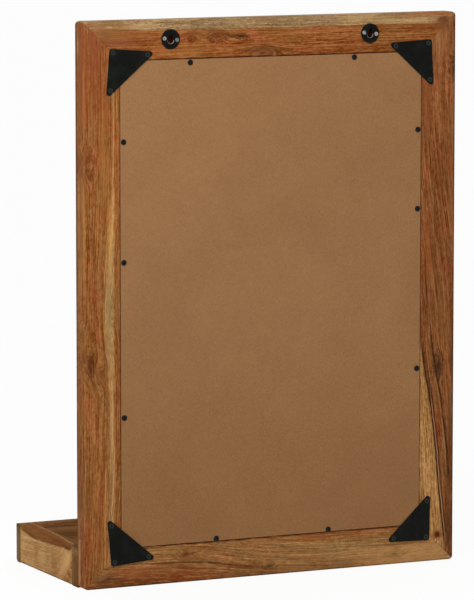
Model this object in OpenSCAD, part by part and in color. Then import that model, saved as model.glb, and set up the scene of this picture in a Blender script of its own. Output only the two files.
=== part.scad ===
/* [Overall] */
// Width of the frame and of the shelf
frame_w = 500; // [420:5:700]
// Height of the frame
frame_h = 685; // [560:5:1000]
// From the back of the frame to the front of the shelf
overall_d = 220; // [180:5:300]

/* [Frame] */
// Thickness of the frame, from back to front
frame_t = 25; // [22:0.5:32]
// Width of a rail on the back, from the outer edge to the panel opening
rail_back_w = 47.5; // [44:0.5:60]
// Width of the ledge that the back panel is screwed to
panel_ledge_w = 8.5; // [8:0.5:12]
// Width of the front lip that holds the glass
glass_lip_w = 6; // [4:0.5:10]
// Radius of the frame's four outer corners, seen from the front
corner_r = 5; // [3:0.5:8]
// Rounding of the long outer edges
edge_r = 2.5; // [1:0.5:4]
// Rounding of the lip's edge around the glass
lip_r = 2; // [0.5:0.5:4]

/* [Mitre keys] */
// Thickness of a key
key_t = 3.5; // [2:0.5:5]
// How far a key shows along each outer edge, from the corner
key_leg = 60; // [40:1:70]
// From the back of the frame to the key
key_depth = 13; // [13:0.5:16]

/* [Glass and back panel] */
// Thickness of the mirror glass
glass_t = 4; // [3:0.5:6]
// Play between the glass and its rebate, on each side
glass_gap = 1; // [0.5:0.5:2]
// Thickness of the back panel
panel_t = 4; // [3:0.5:6]
// Gap round the back panel, on each side
panel_gap = 0.75; // [0.3:0.05:1.5]

/* [Panel screws] */
// From the middle to the screws in the panel's top edge
top_screw_x = 110; // [60:1:150]
// From the middle to the screws in the panel's bottom edge
bottom_screw_x = 76; // [40:1:150]
// From the panel's top and side edges to its screws
panel_screw_inset = 4; // [3:0.5:5]
// From the panel's bottom edge to its screws
bottom_screw_inset = 2.5; // [2.5:0.5:5]
// Diameter of a panel screw's head
panel_head_d = 7; // [5:0.5:8]
// Height of a panel screw's head
panel_head_h = 1.3; // [0.8:0.1:1.5]
// Length of a panel screw under its head
panel_screw_l = 14; // [10:1:18]

/* [Corner plates] */
// Length of a plate's short sides
plate_leg = 60; // [56:1:70]
// Thickness of the plates and of the hanger plates
plate_t = 1.5; // [1.5:0.1:2.5]
// Rounding of a plate's corners
plate_r = 3; // [1:0.5:4]
// From the frame's sides to a plate's square corner
plate_side_inset = 34.5; // [30:0.5:36]
// From the top of the frame to an upper plate's square corner
plate_top_inset = 33; // [28:0.5:36]
// From the bottom of the frame to a lower plate's square corner
plate_bottom_inset = 27; // [25:0.5:36]
// From a plate's short sides to its screws
plate_hole_inset = 4.5; // [4:0.5:6]
// From a plate's square corner to its outer screws
plate_hole_reach = 49.5; // [40:0.5:50]
// Diameter of a countersunk head in a corner plate
plate_head_d = 6; // [5:0.5:7]
// Length of a corner plate screw
plate_screw_l = 11; // [8:1:11]

/* [Hanger plates] */
// From one keyhole to the other
hanger_spacing = 267; // [200:1:280]
// How far the pair of plates sits to the right of the middle
hanger_shift = 2.5; // [-10:0.5:10]
// From the top of the frame to the middle of a plate
hanger_drop = 23.5; // [22:0.5:26]
// Turn of each plate, in degrees clockwise as seen from behind
hanger_turn = 7; // [0:1:10]
// Diameter of a hanger plate
hanger_d = 24; // [23:0.5:28]
// Diameter of the round hole that a wall screw's head goes in by
entry_d = 8; // [7:0.5:9]
// Width of the slot that the wall screw's neck slides up
slot_w = 4; // [3.5:0.5:5]
// From the middle of a plate down to the round hole
entry_drop = 1.5; // [1:0.5:3.5]
// From the middle of a plate up to the end of the slot
slot_rise = 4.5; // [4:0.5:6]
// From the middle of a plate to each of its screws
hanger_screw_x = 8.2; // [8:0.1:9]
// Diameter of a hanger screw's head
hanger_head_d = 5; // [4:0.5:5]
// Length of a hanger screw
hanger_screw_l = 12; // [8:1:16]
// Diameter of the pocket behind a hanger plate
pocket_d = 11; // [10:0.5:11]
// Depth of the pocket behind a hanger plate
pocket_depth = 10; // [6:1:14]

/* [Shelf] */
// Height of the shelf's back and side boards
shelf_h = 50; // [44:1:58]
// How much lower the front board is
front_step = 2; // [0:0.5:6]
// Depth of the housing that the shelf's back board sits in
housing_depth = 4; // [2:0.5:6]
// Thickness of the back board
back_board_t = 19; // [17:0.5:24]
// Thickness of the front board
front_board_t = 15; // [15:0.5:22]
// Thickness of the side boards
side_board_t = 16; // [14:0.5:22]
// Thickness of the shelf floor
floor_t = 12; // [8:0.5:14]
// From the top of the side boards down to the floor
floor_drop = 8; // [7:0.5:14]
// How far the floor goes into the boards' grooves
floor_tongue = 5; // [3:0.5:6]
// Play of the floor in its grooves
floor_play = 0.3; // [0.2:0.1:0.6]
// Rounding of the front board's bottom edge
toe_r = 9; // [4:0.5:12]
// Rounding of the front board's other front edges
nose_r = 3; // [1:0.5:4]
// Rounding of the shelf boards' long edges
board_r = 2; // [0.5:0.5:2.5]

/* [Dowels] */
// Diameter of the dowels in the shelf's corners
corner_dowel_d = 6; // [5:0.5:6]
// Length of the dowels in the shelf's corners
corner_dowel_l = 24; // [20:1:30]
// Height of the lower dowel in each corner of the shelf
low_dowel_z = 8; // [7:0.5:10]
// From the lower dowel up to the next one
dowel_rise = 11; // [9:0.5:13]
// Diameter of the dowels between the frame and the shelf
fixing_dowel_d = 8; // [6:0.5:10]
// Length of the dowels between the frame and the shelf
fixing_dowel_l = 26; // [22:1:28]
// Height of the dowels between the frame and the shelf
fixing_dowel_z = 22; // [16:1:25]
// From the middle to the inner pair of these dowels
inner_dowel_x = 65; // [40:5:100]
// From the middle to the outer pair of these dowels
outer_dowel_x = 165; // [130:5:165]

/* [Hidden] */

$fn = 48;
over = 1;                    // how far a cutter runs past the face that it opens
shank_d = 3;                 // neck of every screw
pilot_gap = 0.1;             // between a screw or dowel and its hole, across the diameter
head_gap = 0.2;              // between a countersunk head and its seat, across the diameter
dowel_end_gap = 1;           // room for glue at the end of a dowel
tip_l = 3;                   // the pointed end of a screw
tip_d = 0.4;                 // what is left of the point
rim_h = 0.5;                 // upright rim of a domed head
cross_w = 1;                 // width of a screw head's cross recess
cross_share = 0.55;          // length of the recess, as a share of its head
cross_depth = 0.8;           // depth of the recess
joint_r = 1.2;               // small rounding that leaves a fine line where the shelf meets the frame
plate_chamfer = 0.3;         // broken edge of a steel plate

// The corner plates were screwed on by hand: each is turned by its own angle,
// counted counter-clockwise as seen from behind.
TURNS = [["top_left", 3], ["top_right", -4.5], ["bottom_left", -1.5], ["bottom_right", 5]];

// Heights of the screws in the panel's upright edges, which were spaced by eye.
LEFT_SCREW_Z = [244, 443, 541];
RIGHT_SCREW_Z = [207, 395, 540];
screw_span = 685;            // the frame height that those heights were set out on

back_y = (overall_d - plate_t) / 2;              // the back face of the frame
front_y = back_y - frame_t;                      // the front face of the frame
panel_w = frame_w - 2 * (rail_back_w + panel_gap);
panel_h = frame_h - 2 * (rail_back_w + panel_gap);
glass_rebate_w = rail_back_w + panel_ledge_w;    // from the outer edge to the glass rebate
glass_w = frame_w - 2 * (glass_rebate_w + glass_gap);
glass_h = frame_h - 2 * (glass_rebate_w + glass_gap);
face_w = glass_rebate_w + glass_lip_w;           // width of a member on the front
seat_y = front_y + housing_depth;                // the back face of the shelf
shelf_front_y = back_y - overall_d;
side_back_y = seat_y - back_board_t;             // where the side boards start
side_front_y = shelf_front_y + front_board_t;    // where they end
side_l = side_back_y - side_front_y;
front_board_h = shelf_h - front_step;
floor_top = shelf_h - floor_drop;
hanger_z = frame_h - hanger_drop;
hanger_left_x = hanger_shift - hanger_spacing / 2;
hanger_right_x = hanger_shift + hanger_spacing / 2;

// ---------------------------------------------------------------- small helpers

// Lays what is drawn in X and Y upright, with its height running forward from the back face.
module upright() { translate([0, back_y, 0]) rotate([90, 0, 0]) children(); }

// A rectangle from the origin whose corners are rounded by four radii, the one at the
// origin first and then counter-clockwise. A radius of 0 leaves a square corner.
module soft_rect(w, h, r) {
    difference() {
        square([w, h]);
        soft_corner([0, 0], 0, r[0]);
        soft_corner([w, 0], 90, r[1]);
        soft_corner([w, h], 180, r[2]);
        soft_corner([0, h], 270, r[3]);
    }
}

// The waste outside a rounded corner at p, which is turned to face into the shape.
module soft_corner(p, turn, r) {
    if (r > 0)
        translate(p) rotate(turn) difference() {
            translate([-over, -over]) square(r + over);
            translate([r, r]) circle(r);
        }
}

// The place of one screw on the back: its middle and the face that its head lies on.
module at_back(x, z) { translate([x, back_y, z]) rotate([-90, 0, 0]) children(); }

module cross_recess(head_d, top) {
    for (turn = [0, 90]) rotate(turn)
        translate([-head_d * cross_share / 2, -cross_w / 2, top - cross_depth])
            cube([head_d * cross_share, cross_w, cross_depth + over]);
}

// A screw's neck and point, from z = 0 down.
module shank(l) {
    translate([0, 0, tip_l - l]) cylinder(d = shank_d, h = l - tip_l);
    translate([0, 0, -l]) cylinder(d1 = tip_d, d2 = shank_d, h = tip_l);
}

// A screw with a low domed head that lies on the face.
module domed_screw(head_d, head_h, l) {
    dome_h = head_h - rim_h;
    dome_r = (head_d * head_d / 4 + dome_h * dome_h) / (2 * dome_h);
    difference() {
        intersection() {
            translate([0, 0, head_h - dome_r]) sphere(dome_r);
            cylinder(d = head_d, h = head_h);
        }
        cross_recess(head_d, head_h);
    }
    shank(l);
}

// A countersunk screw whose flat head ends flush with a plate's outer face.
module sunk_screw(head_d, l) {
    difference() {
        cylinder(d1 = shank_d, d2 = head_d, h = plate_t);
        cross_recess(head_d, plate_t);
    }
    shank(l);
}

// The hole for one such screw: the seat in the plate, and the pilot in the wood.
module sunk_hole(head_d, l) {
    flare = (head_d - shank_d) * over / plate_t;
    cylinder(d1 = shank_d + head_gap, d2 = head_d + head_gap + flare, h = plate_t + over);
    translate([0, 0, -l - over / 2]) cylinder(d = shank_d + pilot_gap, h = l + over);
}

// ---------------------------------------------------------------- where things go

module each_panel_screw() {
    top_z = (frame_h + panel_h) / 2 - panel_screw_inset;
    low_z = (frame_h - panel_h) / 2 + bottom_screw_inset;
    side_x = panel_w / 2 - panel_screw_inset;
    for (side = [-1, 1]) {
        at_back(side * top_screw_x, top_z) children();
        at_back(side * bottom_screw_x, low_z) children();
    }
    for (z = LEFT_SCREW_Z) at_back(-side_x, z * frame_h / screw_span) children();
    for (z = RIGHT_SCREW_Z) at_back(side_x, z * frame_h / screw_span) children();
}

// One corner of the frame, drawn at the bottom left and mirrored to where it belongs.
module at_corner(name) {
    right = name == "top_right" || name == "bottom_right";
    top = name == "top_left" || name == "top_right";
    translate([right ? frame_w / 2 : -frame_w / 2, 0, top ? frame_h : 0])
        mirror([right ? 1 : 0, 0, 0]) mirror([0, 0, top ? 1 : 0]) children();
}

// The place of one corner plate, with its square corner at the origin, its legs along
// +X and +Z and its own turn. The turn is mirrored with the corner.
module at_plate(i) {
    name = TURNS[i][0];
    flip = name == "top_left" || name == "bottom_right" ? -1 : 1;
    inset_z = i < 2 ? plate_top_inset : plate_bottom_inset;
    at_corner(name) translate([plate_side_inset, 0, inset_z])
        rotate([0, flip * TURNS[i][1], 0]) children();
}

module each_plate_hole() {
    near = plate_hole_inset;
    for (p = [[near, near], [plate_hole_reach, near], [near, plate_hole_reach]])
        at_back(p[0], p[1]) children();
}

module each_hanger() {
    for (x = [hanger_left_x, hanger_right_x]) at_hanger(x) children();
}

// One hanger plate's place: its middle on the back face, turned as it was screwed on.
module at_hanger(x) {
    translate([x, back_y, hanger_z]) rotate([0, -hanger_turn, 0]) rotate([-90, 0, 0]) children();
}

// Seen in a hanger's own plane, +Y points down, so up is -Y.
module each_hanger_screw() {
    for (side = [-1, 1]) translate([side * hanger_screw_x, 0, 0]) children();
}

module each_fixing_dowel() {
    for (side = [-1, 1]) for (x = [inner_dowel_x, outer_dowel_x])
        translate([side * x, seat_y, fixing_dowel_z]) rotate([90, 0, 0]) children();
}

// The dowels between a side board and the front and back boards, on both sides.
module each_corner_dowel() {
    for (side = [-1, 1]) for (y = [side_back_y, side_front_y]) for (rise = [0, dowel_rise])
        translate([side * (frame_w - side_board_t) / 2, y, low_dowel_z + rise])
            rotate([90, 0, 0]) children();
}

// ---------------------------------------------------------------- frame

// The cross-section of a member: X runs in from the outer edge, Y forward from the back.
module member_section() {
    difference() {
        soft_rect(face_w, frame_t, [edge_r, 0, lip_r, edge_r]);
        translate([rail_back_w, -over]) square([face_w, panel_t + over]);
        translate([glass_rebate_w, -over]) square([face_w, panel_t + glass_t + over]);
    }
}

// A mitred member of length l, lying along X with its outer edge at z = 0.
module member(l) {
    intersection() {
        union() {
            translate([corner_r - l / 2, back_y, 0]) rotate([180, -90, 0])
                linear_extrude(l - 2 * corner_r) member_section();
            for (side = [-1, 1]) translate([side * (l / 2 - corner_r), 0, corner_r])
                upright() rotate(side < 0 ? 180 : 270) corner_post();
        }
        upright() mitre_outline(l);
    }
}

// A quarter of the round post at a corner of the frame, which two members share.
module corner_post() {
    rotate_extrude(angle = 90) soft_rect(corner_r, frame_t, [0, edge_r, edge_r, 0]);
}

module mitre_outline(l) {
    translate([0, 0, -over]) linear_extrude(frame_t + 2 * over)
        polygon([[-l / 2, 0], [l / 2, 0], [l / 2 - face_w - over, face_w + over],
                 [face_w + over - l / 2, face_w + over]]);
}

// What is cut out of the four members once they are in place.
module frame_cuts() {
    translate([-frame_w / 2 - over, front_y - over, -over])
        cube([frame_w + 2 * over, housing_depth + over, shelf_h + over]);
    for (corner = TURNS) at_corner(corner[0]) key_slot();
    each_panel_screw() translate([0, 0, -panel_screw_l - over])
        cylinder(d = shank_d + pilot_gap, h = panel_screw_l + 2 * over);
    for (i = [0 : len(TURNS) - 1]) at_plate(i) each_plate_hole()
        sunk_hole(plate_head_d, plate_screw_l);
    each_hanger() {
        each_hanger_screw() sunk_hole(hanger_head_d, hanger_screw_l);
        keyhole_pocket();
    }
    each_fixing_dowel() dowel(fixing_dowel_d + pilot_gap, fixing_dowel_l + dowel_end_gap);
}

module key_slot() {
    translate([0, -key_depth, 0]) upright() linear_extrude(key_t)
        polygon([[-over, -over], [key_leg + over, -over], [key_leg, 0],
                 [0, key_leg], [-over, key_leg + over]]);
}

// The space behind a hanger plate for the wall screw's head.
module keyhole_pocket() {
    translate([0, 0, -pocket_depth]) linear_extrude(pocket_depth + over) {
        translate([0, entry_drop]) circle(d = pocket_d);
        translate([0, -slot_rise]) circle(d = pocket_d);
        translate([-pocket_d / 2, -slot_rise]) square([pocket_d, slot_rise + entry_drop]);
    }
}

module frame_bottom_rail() {
    color("peru") difference() {
        member(frame_w);
        frame_cuts();
    }
}

module frame_top_rail() {
    color("chocolate") difference() {
        translate([0, 0, frame_h]) mirror([0, 0, 1]) member(frame_w);
        frame_cuts();
    }
}

module frame_left_stile() {
    color("sienna") difference() {
        translate([-frame_w / 2, 0, frame_h / 2]) rotate([0, 90, 0]) member(frame_h);
        frame_cuts();
    }
}

module frame_right_stile() {
    color("saddlebrown") difference() {
        translate([frame_w / 2, 0, frame_h / 2]) rotate([0, -90, 0]) member(frame_h);
        frame_cuts();
    }
}

// A thin key that fills its slot, rounded with the corner of the frame.
module corner_key(name) {
    color("tan") at_corner(name) translate([0, -key_depth, 0]) upright() linear_extrude(key_t)
        difference() {
            polygon([[0, 0], [key_leg, 0], [0, key_leg]]);
            soft_corner([0, 0], 0, corner_r);
        }
}

module corner_key_top_left() { corner_key("top_left"); }
module corner_key_top_right() { corner_key("top_right"); }
module corner_key_bottom_left() { corner_key("bottom_left"); }
module corner_key_bottom_right() { corner_key("bottom_right"); }

// ---------------------------------------------------------------- glass and back panel

module mirror_glass() {
    color("lightsteelblue")
        translate([-glass_w / 2, back_y - panel_t - glass_t, (frame_h - glass_h) / 2])
            cube([glass_w, glass_t, glass_h]);
}

module back_panel() {
    color("burlywood") difference() {
        translate([-panel_w / 2, back_y - panel_t, (frame_h - panel_h) / 2])
            cube([panel_w, panel_t, panel_h]);
        each_panel_screw() translate([0, 0, -panel_t - over])
            cylinder(d = shank_d + head_gap, h = panel_t + 2 * over);
    }
}

module panel_screws() {
    color("black") each_panel_screw() domed_screw(panel_head_d, panel_head_h, panel_screw_l);
}

// ---------------------------------------------------------------- corner plates

// A right triangle with rounded corners. Its sharp corners would be at the origin and
// at the ends of its legs.
module plate_outline(leg, r) {
    far = leg - r / tan(22.5);
    lean = r * sin(45);
    polygon([[r, 0], [far, 0], [far + lean, r + lean], [r + lean, far + lean], [0, far], [0, r]]);
    for (p = [[r, r], [far, r], [r, far]]) translate(p) circle(r);
}

module corner_plate(i) {
    color("dimgray") at_plate(i) difference() {
        translate([0, plate_t, 0]) upright() linear_extrude(plate_t) plate_outline(plate_leg, plate_r);
        each_plate_hole() sunk_hole(plate_head_d, plate_t);
    }
}

module corner_plate_top_left() { corner_plate(0); }
module corner_plate_top_right() { corner_plate(1); }
module corner_plate_bottom_left() { corner_plate(2); }
module corner_plate_bottom_right() { corner_plate(3); }

module corner_plate_screws() {
    color("black") for (i = [0 : len(TURNS) - 1]) at_plate(i) each_plate_hole()
        sunk_screw(plate_head_d, plate_screw_l);
}

// ---------------------------------------------------------------- hanger plates

// A round plate with a keyhole: a wall screw's head goes in below, and its neck
// slides up the slot.
module hanger_plate() {
    rim = hanger_d / 2;
    difference() {
        rotate_extrude() soft_rect(rim, plate_t, [0, 0, plate_chamfer, 0]);
        translate([0, entry_drop, -over]) cylinder(d = entry_d, h = plate_t + 2 * over);
        translate([0, -slot_rise, -over]) cylinder(d = slot_w, h = plate_t + 2 * over);
        translate([-slot_w / 2, -slot_rise, -over])
            cube([slot_w, slot_rise + entry_drop, plate_t + 2 * over]);
        each_hanger_screw() sunk_hole(hanger_head_d, plate_t);
    }
}

module hanger_plate_left() { color("dimgray") at_hanger(hanger_left_x) hanger_plate(); }
module hanger_plate_right() { color("dimgray") at_hanger(hanger_right_x) hanger_plate(); }

module hanger_screws() {
    color("silver") each_hanger() each_hanger_screw() sunk_screw(hanger_head_d, hanger_screw_l);
}

// ---------------------------------------------------------------- shelf

// A board of length l that lies along X, centred on it: what is drawn in X and Y is its
// cross-section, with X running back and Y up.
module along_x(l) { translate([-l / 2, 0, 0]) rotate([90, 0, 90]) linear_extrude(l) children(); }

// The board that stands in the frame's housing. Its ends show on the sides.
module shelf_back_board() {
    color("tan") difference() {
        translate([0, side_back_y, 0]) intersection() {
            along_x(frame_w)
                soft_rect(back_board_t, shelf_h, [board_r, joint_r, joint_r, board_r]);
            translate([-frame_w / 2, 0, 0]) linear_extrude(shelf_h)
                soft_rect(frame_w, back_board_t, [0, 0, joint_r, joint_r]);
        }
        shelf_cuts();
    }
}

// The board across the front, with a well rounded toe.
module shelf_front_board() {
    color("peru") difference() {
        translate([0, shelf_front_y, 0]) intersection() {
            along_x(frame_w)
                soft_rect(front_board_t, front_board_h, [toe_r, board_r, board_r, nose_r]);
            translate([-frame_w / 2, 0, 0]) linear_extrude(front_board_h)
                soft_rect(frame_w, front_board_t, [nose_r, nose_r, 0, 0]);
        }
        shelf_cuts();
    }
}

// The right side board. The left one is its mirror image.
module side_board() {
    translate([frame_w / 2 - side_board_t, side_back_y, 0]) rotate([90, 0, 0])
        linear_extrude(side_l)
            soft_rect(side_board_t, shelf_h, [board_r, board_r, board_r, board_r]);
}

module shelf_right_board() {
    color("burlywood") difference() {
        side_board();
        shelf_cuts();
    }
}

module shelf_left_board() {
    color("burlywood") difference() {
        mirror([1, 0, 0]) side_board();
        shelf_cuts();
    }
}

// The floor board, or the grooves for it where play is given.
module floor_board(play) {
    reach = floor_tongue + play;
    translate([side_board_t - frame_w / 2 - reach, side_front_y - reach, floor_top - floor_t])
        cube([frame_w - 2 * side_board_t + 2 * reach, side_l + 2 * reach, floor_t + play]);
}

module shelf_floor() { color("sienna") floor_board(0); }

// What is cut out of the shelf's four boards once they are in place.
module shelf_cuts() {
    floor_board(floor_play);
    each_fixing_dowel() dowel(fixing_dowel_d + pilot_gap, fixing_dowel_l + dowel_end_gap);
    each_corner_dowel() dowel(corner_dowel_d + pilot_gap, corner_dowel_l + dowel_end_gap);
}

// A dowel, or its hole, that reaches half its length to each side of a joint.
module dowel(d, l) { translate([0, 0, -l / 2]) cylinder(d = d, h = l); }

module shelf_corner_dowels() {
    color("wheat") each_corner_dowel() dowel(corner_dowel_d, corner_dowel_l);
}

module shelf_fixing_dowels() {
    color("wheat") each_fixing_dowel() dowel(fixing_dowel_d, fixing_dowel_l);
}

// ---------------------------------------------------------------- what is drawn

frame_top_rail();
frame_bottom_rail();
frame_left_stile();
frame_right_stile();
corner_key_top_left();
corner_key_top_right();
corner_key_bottom_left();
corner_key_bottom_right();
mirror_glass();
back_panel();
panel_screws();
corner_plate_top_left();
corner_plate_top_right();
corner_plate_bottom_left();
corner_plate_bottom_right();
corner_plate_screws();
hanger_plate_left();
hanger_plate_right();
hanger_screws();
shelf_back_board();
shelf_front_board();
shelf_left_board();
shelf_right_board();
shelf_floor();
shelf_corner_dowels();
shelf_fixing_dowels();
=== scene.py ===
"""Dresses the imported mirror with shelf: oiled hardwood, fibreboard, black steel and silvered glass."""

from __future__ import annotations

import logging
import math
from dataclasses import dataclass
from enum import Enum

import bmesh
import bpy
from mathutils import Matrix, Vector

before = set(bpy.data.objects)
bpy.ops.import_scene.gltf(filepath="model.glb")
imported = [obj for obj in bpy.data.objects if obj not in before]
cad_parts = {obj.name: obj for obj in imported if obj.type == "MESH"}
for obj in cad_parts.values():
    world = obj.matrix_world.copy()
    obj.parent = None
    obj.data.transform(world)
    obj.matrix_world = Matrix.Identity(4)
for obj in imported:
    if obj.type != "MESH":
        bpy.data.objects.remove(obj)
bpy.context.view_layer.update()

log = logging.getLogger("mirror_with_shelf")

MM = 0.001

Colour = tuple[float, float, float]
Shade = tuple[int, int, int]
Point = tuple[float, float, float]


def linear(shade: Shade) -> Colour:
    """Returns the linear colour of a screen colour, whose channels run from 0 to 255."""
    shares = (value / 255 for value in shade)
    return tuple(share / 12.92 if share <= 0.04045 else ((share + 0.055) / 1.055) ** 2.4
                 for share in shares)


def scaled(*lengths: float) -> tuple[float, ...]:
    """Returns lengths in millimetres as metres."""
    return tuple(length * MM for length in lengths)


def opaque(colour: Colour) -> tuple[float, float, float, float]:
    """Returns the colour with an alpha of 1."""
    return (*colour, 1.0)


# ------------------------------------------------------------------ wiring

MIX_COLOUR_INPUTS = (0, 6, 7)    # the Mix node's sockets for the factor and its two colours


class Wiring:
    """Adds nodes to one shader tree and wires them together."""

    def __init__(self, tree: bpy.types.NodeTree) -> None:
        """Starts on a tree."""
        self.tree = tree

    def node(self, kind: str, **settings: object) -> bpy.types.Node:
        """Adds a node.

        Args:
            kind: The node's type name, without its ShaderNode prefix.
            **settings: Attributes to set on the node.

        Returns:
            The new node.
        """
        made = self.tree.nodes.new("ShaderNode" + kind)
        for name, value in settings.items():
            setattr(made, name, value)
        return made

    def feed(self, socket: bpy.types.NodeSocket, value: object) -> None:
        """Links a socket to another one, or sets its plain value.

        Args:
            socket: The input to feed.
            value: An output socket, or a number, vector or colour.
        """
        if isinstance(value, bpy.types.NodeSocket):
            self.tree.links.new(value, socket)
        elif socket.type == "RGBA" and len(value) == 3:
            socket.default_value = opaque(value)
        else:
            socket.default_value = value

    def fill(self, node: bpy.types.Node, **inputs: object) -> bpy.types.Node:
        """Feeds a node's inputs by name.

        Args:
            node: The node.
            **inputs: What each input gets, by its name with _ for a space.

        Returns:
            The node.
        """
        for name, value in inputs.items():
            self.feed(node.inputs[name.replace("_", " ")], value)
        return node

    def math(self, operation: str, first: object, second: object = None, third: object = None,
             clamp: bool = False) -> bpy.types.NodeSocket:
        """Returns the result of a Math node.

        Args:
            operation: The node's operation.
            first: Its first value.
            second: Its second value, if it has one.
            third: Its third value, if it has one.
            clamp: Whether the result is kept from 0 to 1.

        Returns:
            The output socket.
        """
        made = self.node("Math", operation=operation, use_clamp=clamp)
        for socket, value in zip(made.inputs, (first, second, third)):
            if value is not None:
                self.feed(socket, value)
        return made.outputs[0]

    def times(self, *values: object, clamp: bool = False) -> bpy.types.NodeSocket:
        """Returns the product of two or more values.

        Args:
            *values: The values.
            clamp: Whether the result is kept from 0 to 1.

        Returns:
            The product's socket.
        """
        product = values[0]
        for value in values[1:-1]:
            product = self.math("MULTIPLY", product, value)
        return self.math("MULTIPLY", product, values[-1], clamp=clamp)

    def plus(self, first: object, second: object, clamp: bool = False) -> bpy.types.NodeSocket:
        """Returns the sum of two values, kept from 0 to 1 where clamp is true."""
        return self.math("ADD", first, second, clamp=clamp)

    def minus(self, first: object, second: object) -> bpy.types.NodeSocket:
        """Returns the first value less the second."""
        return self.math("SUBTRACT", first, second)

    def weigh(self, *parts: tuple[object, float]) -> bpy.types.NodeSocket:
        """Returns the sum of values, each times its weight.

        Args:
            *parts: The values and their weights.

        Returns:
            The sum's socket.
        """
        total, *rest = (self.times(value, weight) for value, weight in parts)
        for part in rest:
            total = self.plus(total, part)
        return total

    def vector(self, operation: str, first: object, second: object = None) -> bpy.types.NodeSocket:
        """Returns the result of a Vector Math node, which is a value for a length or a dot product.

        Args:
            operation: The node's operation.
            first: Its first vector.
            second: Its second vector, if it has one.

        Returns:
            The output socket.
        """
        made = self.node("VectorMath", operation=operation)
        self.feed(made.inputs[0], first)
        if second is not None:
            self.feed(made.inputs[1], second)
        return made.outputs["Value" if operation in ("DOT_PRODUCT", "LENGTH") else "Vector"]

    def split(self, vector: object) -> tuple[bpy.types.NodeSocket, ...]:
        """Splits a vector.

        Args:
            vector: The vector.

        Returns:
            The sockets of its three parts.
        """
        made = self.node("SeparateXYZ")
        self.feed(made.inputs[0], vector)
        return tuple(made.outputs)

    def join(self, x: object, y: object, z: object) -> bpy.types.NodeSocket:
        """Returns a vector made of three values.

        Args:
            x: The first value.
            y: The second value.
            z: The third value.

        Returns:
            The vector's socket.
        """
        made = self.node("CombineXYZ")
        for socket, value in zip(made.inputs, (x, y, z)):
            self.feed(socket, value)
        return made.outputs[0]

    def blend(self, share: object, first: object, second: object,
              way: str = "MIX") -> bpy.types.NodeSocket:
        """Returns a mix of two colours.

        Args:
            share: How much of the second colour there is, from 0 to 1.
            first: The first colour.
            second: The second colour.
            way: The blend type.

        Returns:
            The mixed colour's socket.
        """
        made = self.node("Mix", data_type="RGBA", blend_type=way, clamp_factor=True)
        for index, value in zip(MIX_COLOUR_INPUTS, (share, first, second)):
            self.feed(made.inputs[index], value)
        return made.outputs[2]

    def tinted(self, share: object, colour: object, factor: object) -> bpy.types.NodeSocket:
        """Returns a colour, multiplied by a factor where the share says so.

        Args:
            share: Where and how strongly the factor holds, from 0 to 1.
            colour: The colour.
            factor: What its red, green and blue are multiplied by.

        Returns:
            The new colour's socket.
        """
        return self.blend(share, colour, self.blend(1.0, colour, factor, "MULTIPLY"))

    def noise(self, at: object, scale: float = 1.0, detail: float = 2.0, rough: float = 0.5,
              warp: float = 0.0, flat: bool = False) -> bpy.types.NodeSocket:
        """Returns the value of a Noise texture, which stays near 0.5.

        Args:
            at: The point, or the single value where flat is true.
            scale: Features per unit.
            detail: Octaves.
            rough: Strength of each finer octave.
            warp: Distortion.
            flat: Whether the noise runs along one value only.

        Returns:
            The factor's socket.
        """
        made = self.node("TexNoise", noise_dimensions="1D" if flat else "3D")
        self.feed(made.inputs["W" if flat else "Vector"], at)
        return self.fill(made, Scale=scale, Detail=detail, Roughness=rough, Distortion=warp).outputs[0]

    def fade(self, value: object, low: object, high: object, start: object = 0.0,
             end: object = 1.0) -> bpy.types.NodeSocket:
        """Returns a smooth step of a value.

        Args:
            value: What is tested.
            low: The value at which the step starts.
            high: The value at which it ends.
            start: The result below low.
            end: The result above high.

        Returns:
            The result's socket.
        """
        made = self.node("MapRange", interpolation_type="SMOOTHSTEP")
        for socket, given in zip(made.inputs, (value, low, high, start, end)):
            self.feed(socket, given)
        return made.outputs[0]

    def curve(self, value: object, points: tuple[tuple[float, float], ...]) -> bpy.types.NodeSocket:
        """Returns a smooth curve through a few points, each from 0 to 1.

        Args:
            value: Where on the curve to read, from 0 to 1.
            points: The curve's points, from left to right.

        Returns:
            The curve's height there.
        """
        made = self.node("FloatCurve")
        line = made.mapping.curves[0]
        line.points[0].location = points[0]
        line.points[1].location = points[-1]
        for x, y in points[1:-1]:
            line.points.new(x, y)
        made.mapping.update()
        self.feed(made.inputs["Value"], value)
        return made.outputs[0]

    def bump(self, height: object, distance: float, strength: float,
             normal: object = (0.0, 0.0, 0.0)) -> bpy.types.NodeSocket:
        """Returns the normal of a small relief.

        Args:
            height: The relief's height, from 0 to 1.
            distance: What a height of 1 is, in metres.
            strength: The Bump node's strength.
            normal: The normal that the relief lies on, if it isn't the plain one.

        Returns:
            The new normal.
        """
        made = self.node("Bump")
        self.fill(made, Strength=strength, Distance=distance, Height=height, Normal=normal)
        return made.outputs[0]

    def call(self, group: bpy.types.NodeTree, **inputs: object) -> bpy.types.Node:
        """Returns a node that places a group, with its inputs fed by name."""
        return self.fill(self.node("Group", node_tree=group), **inputs)


class Kind(Enum):
    """The kinds of socket that the groups here have."""

    VALUE = "NodeSocketFloat"
    VECTOR = "NodeSocketVector"
    COLOUR = "NodeSocketColor"

    @classmethod
    def of(cls, socket: str) -> Kind:
        """Returns a socket's kind, which its name tells in every group.

        Args:
            socket: The socket's name.

        Returns:
            The kind.
        """
        if socket in ("Board", "Centre", "Reach", "Place", "Normal"):
            return cls.VECTOR
        colours = ("Color", "Tint", "Worn", "Fleck", "Heart Light", "Heart Dark", "Sap Light", "Sap Dark")
        return cls.COLOUR if socket in colours else cls.VALUE


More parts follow.
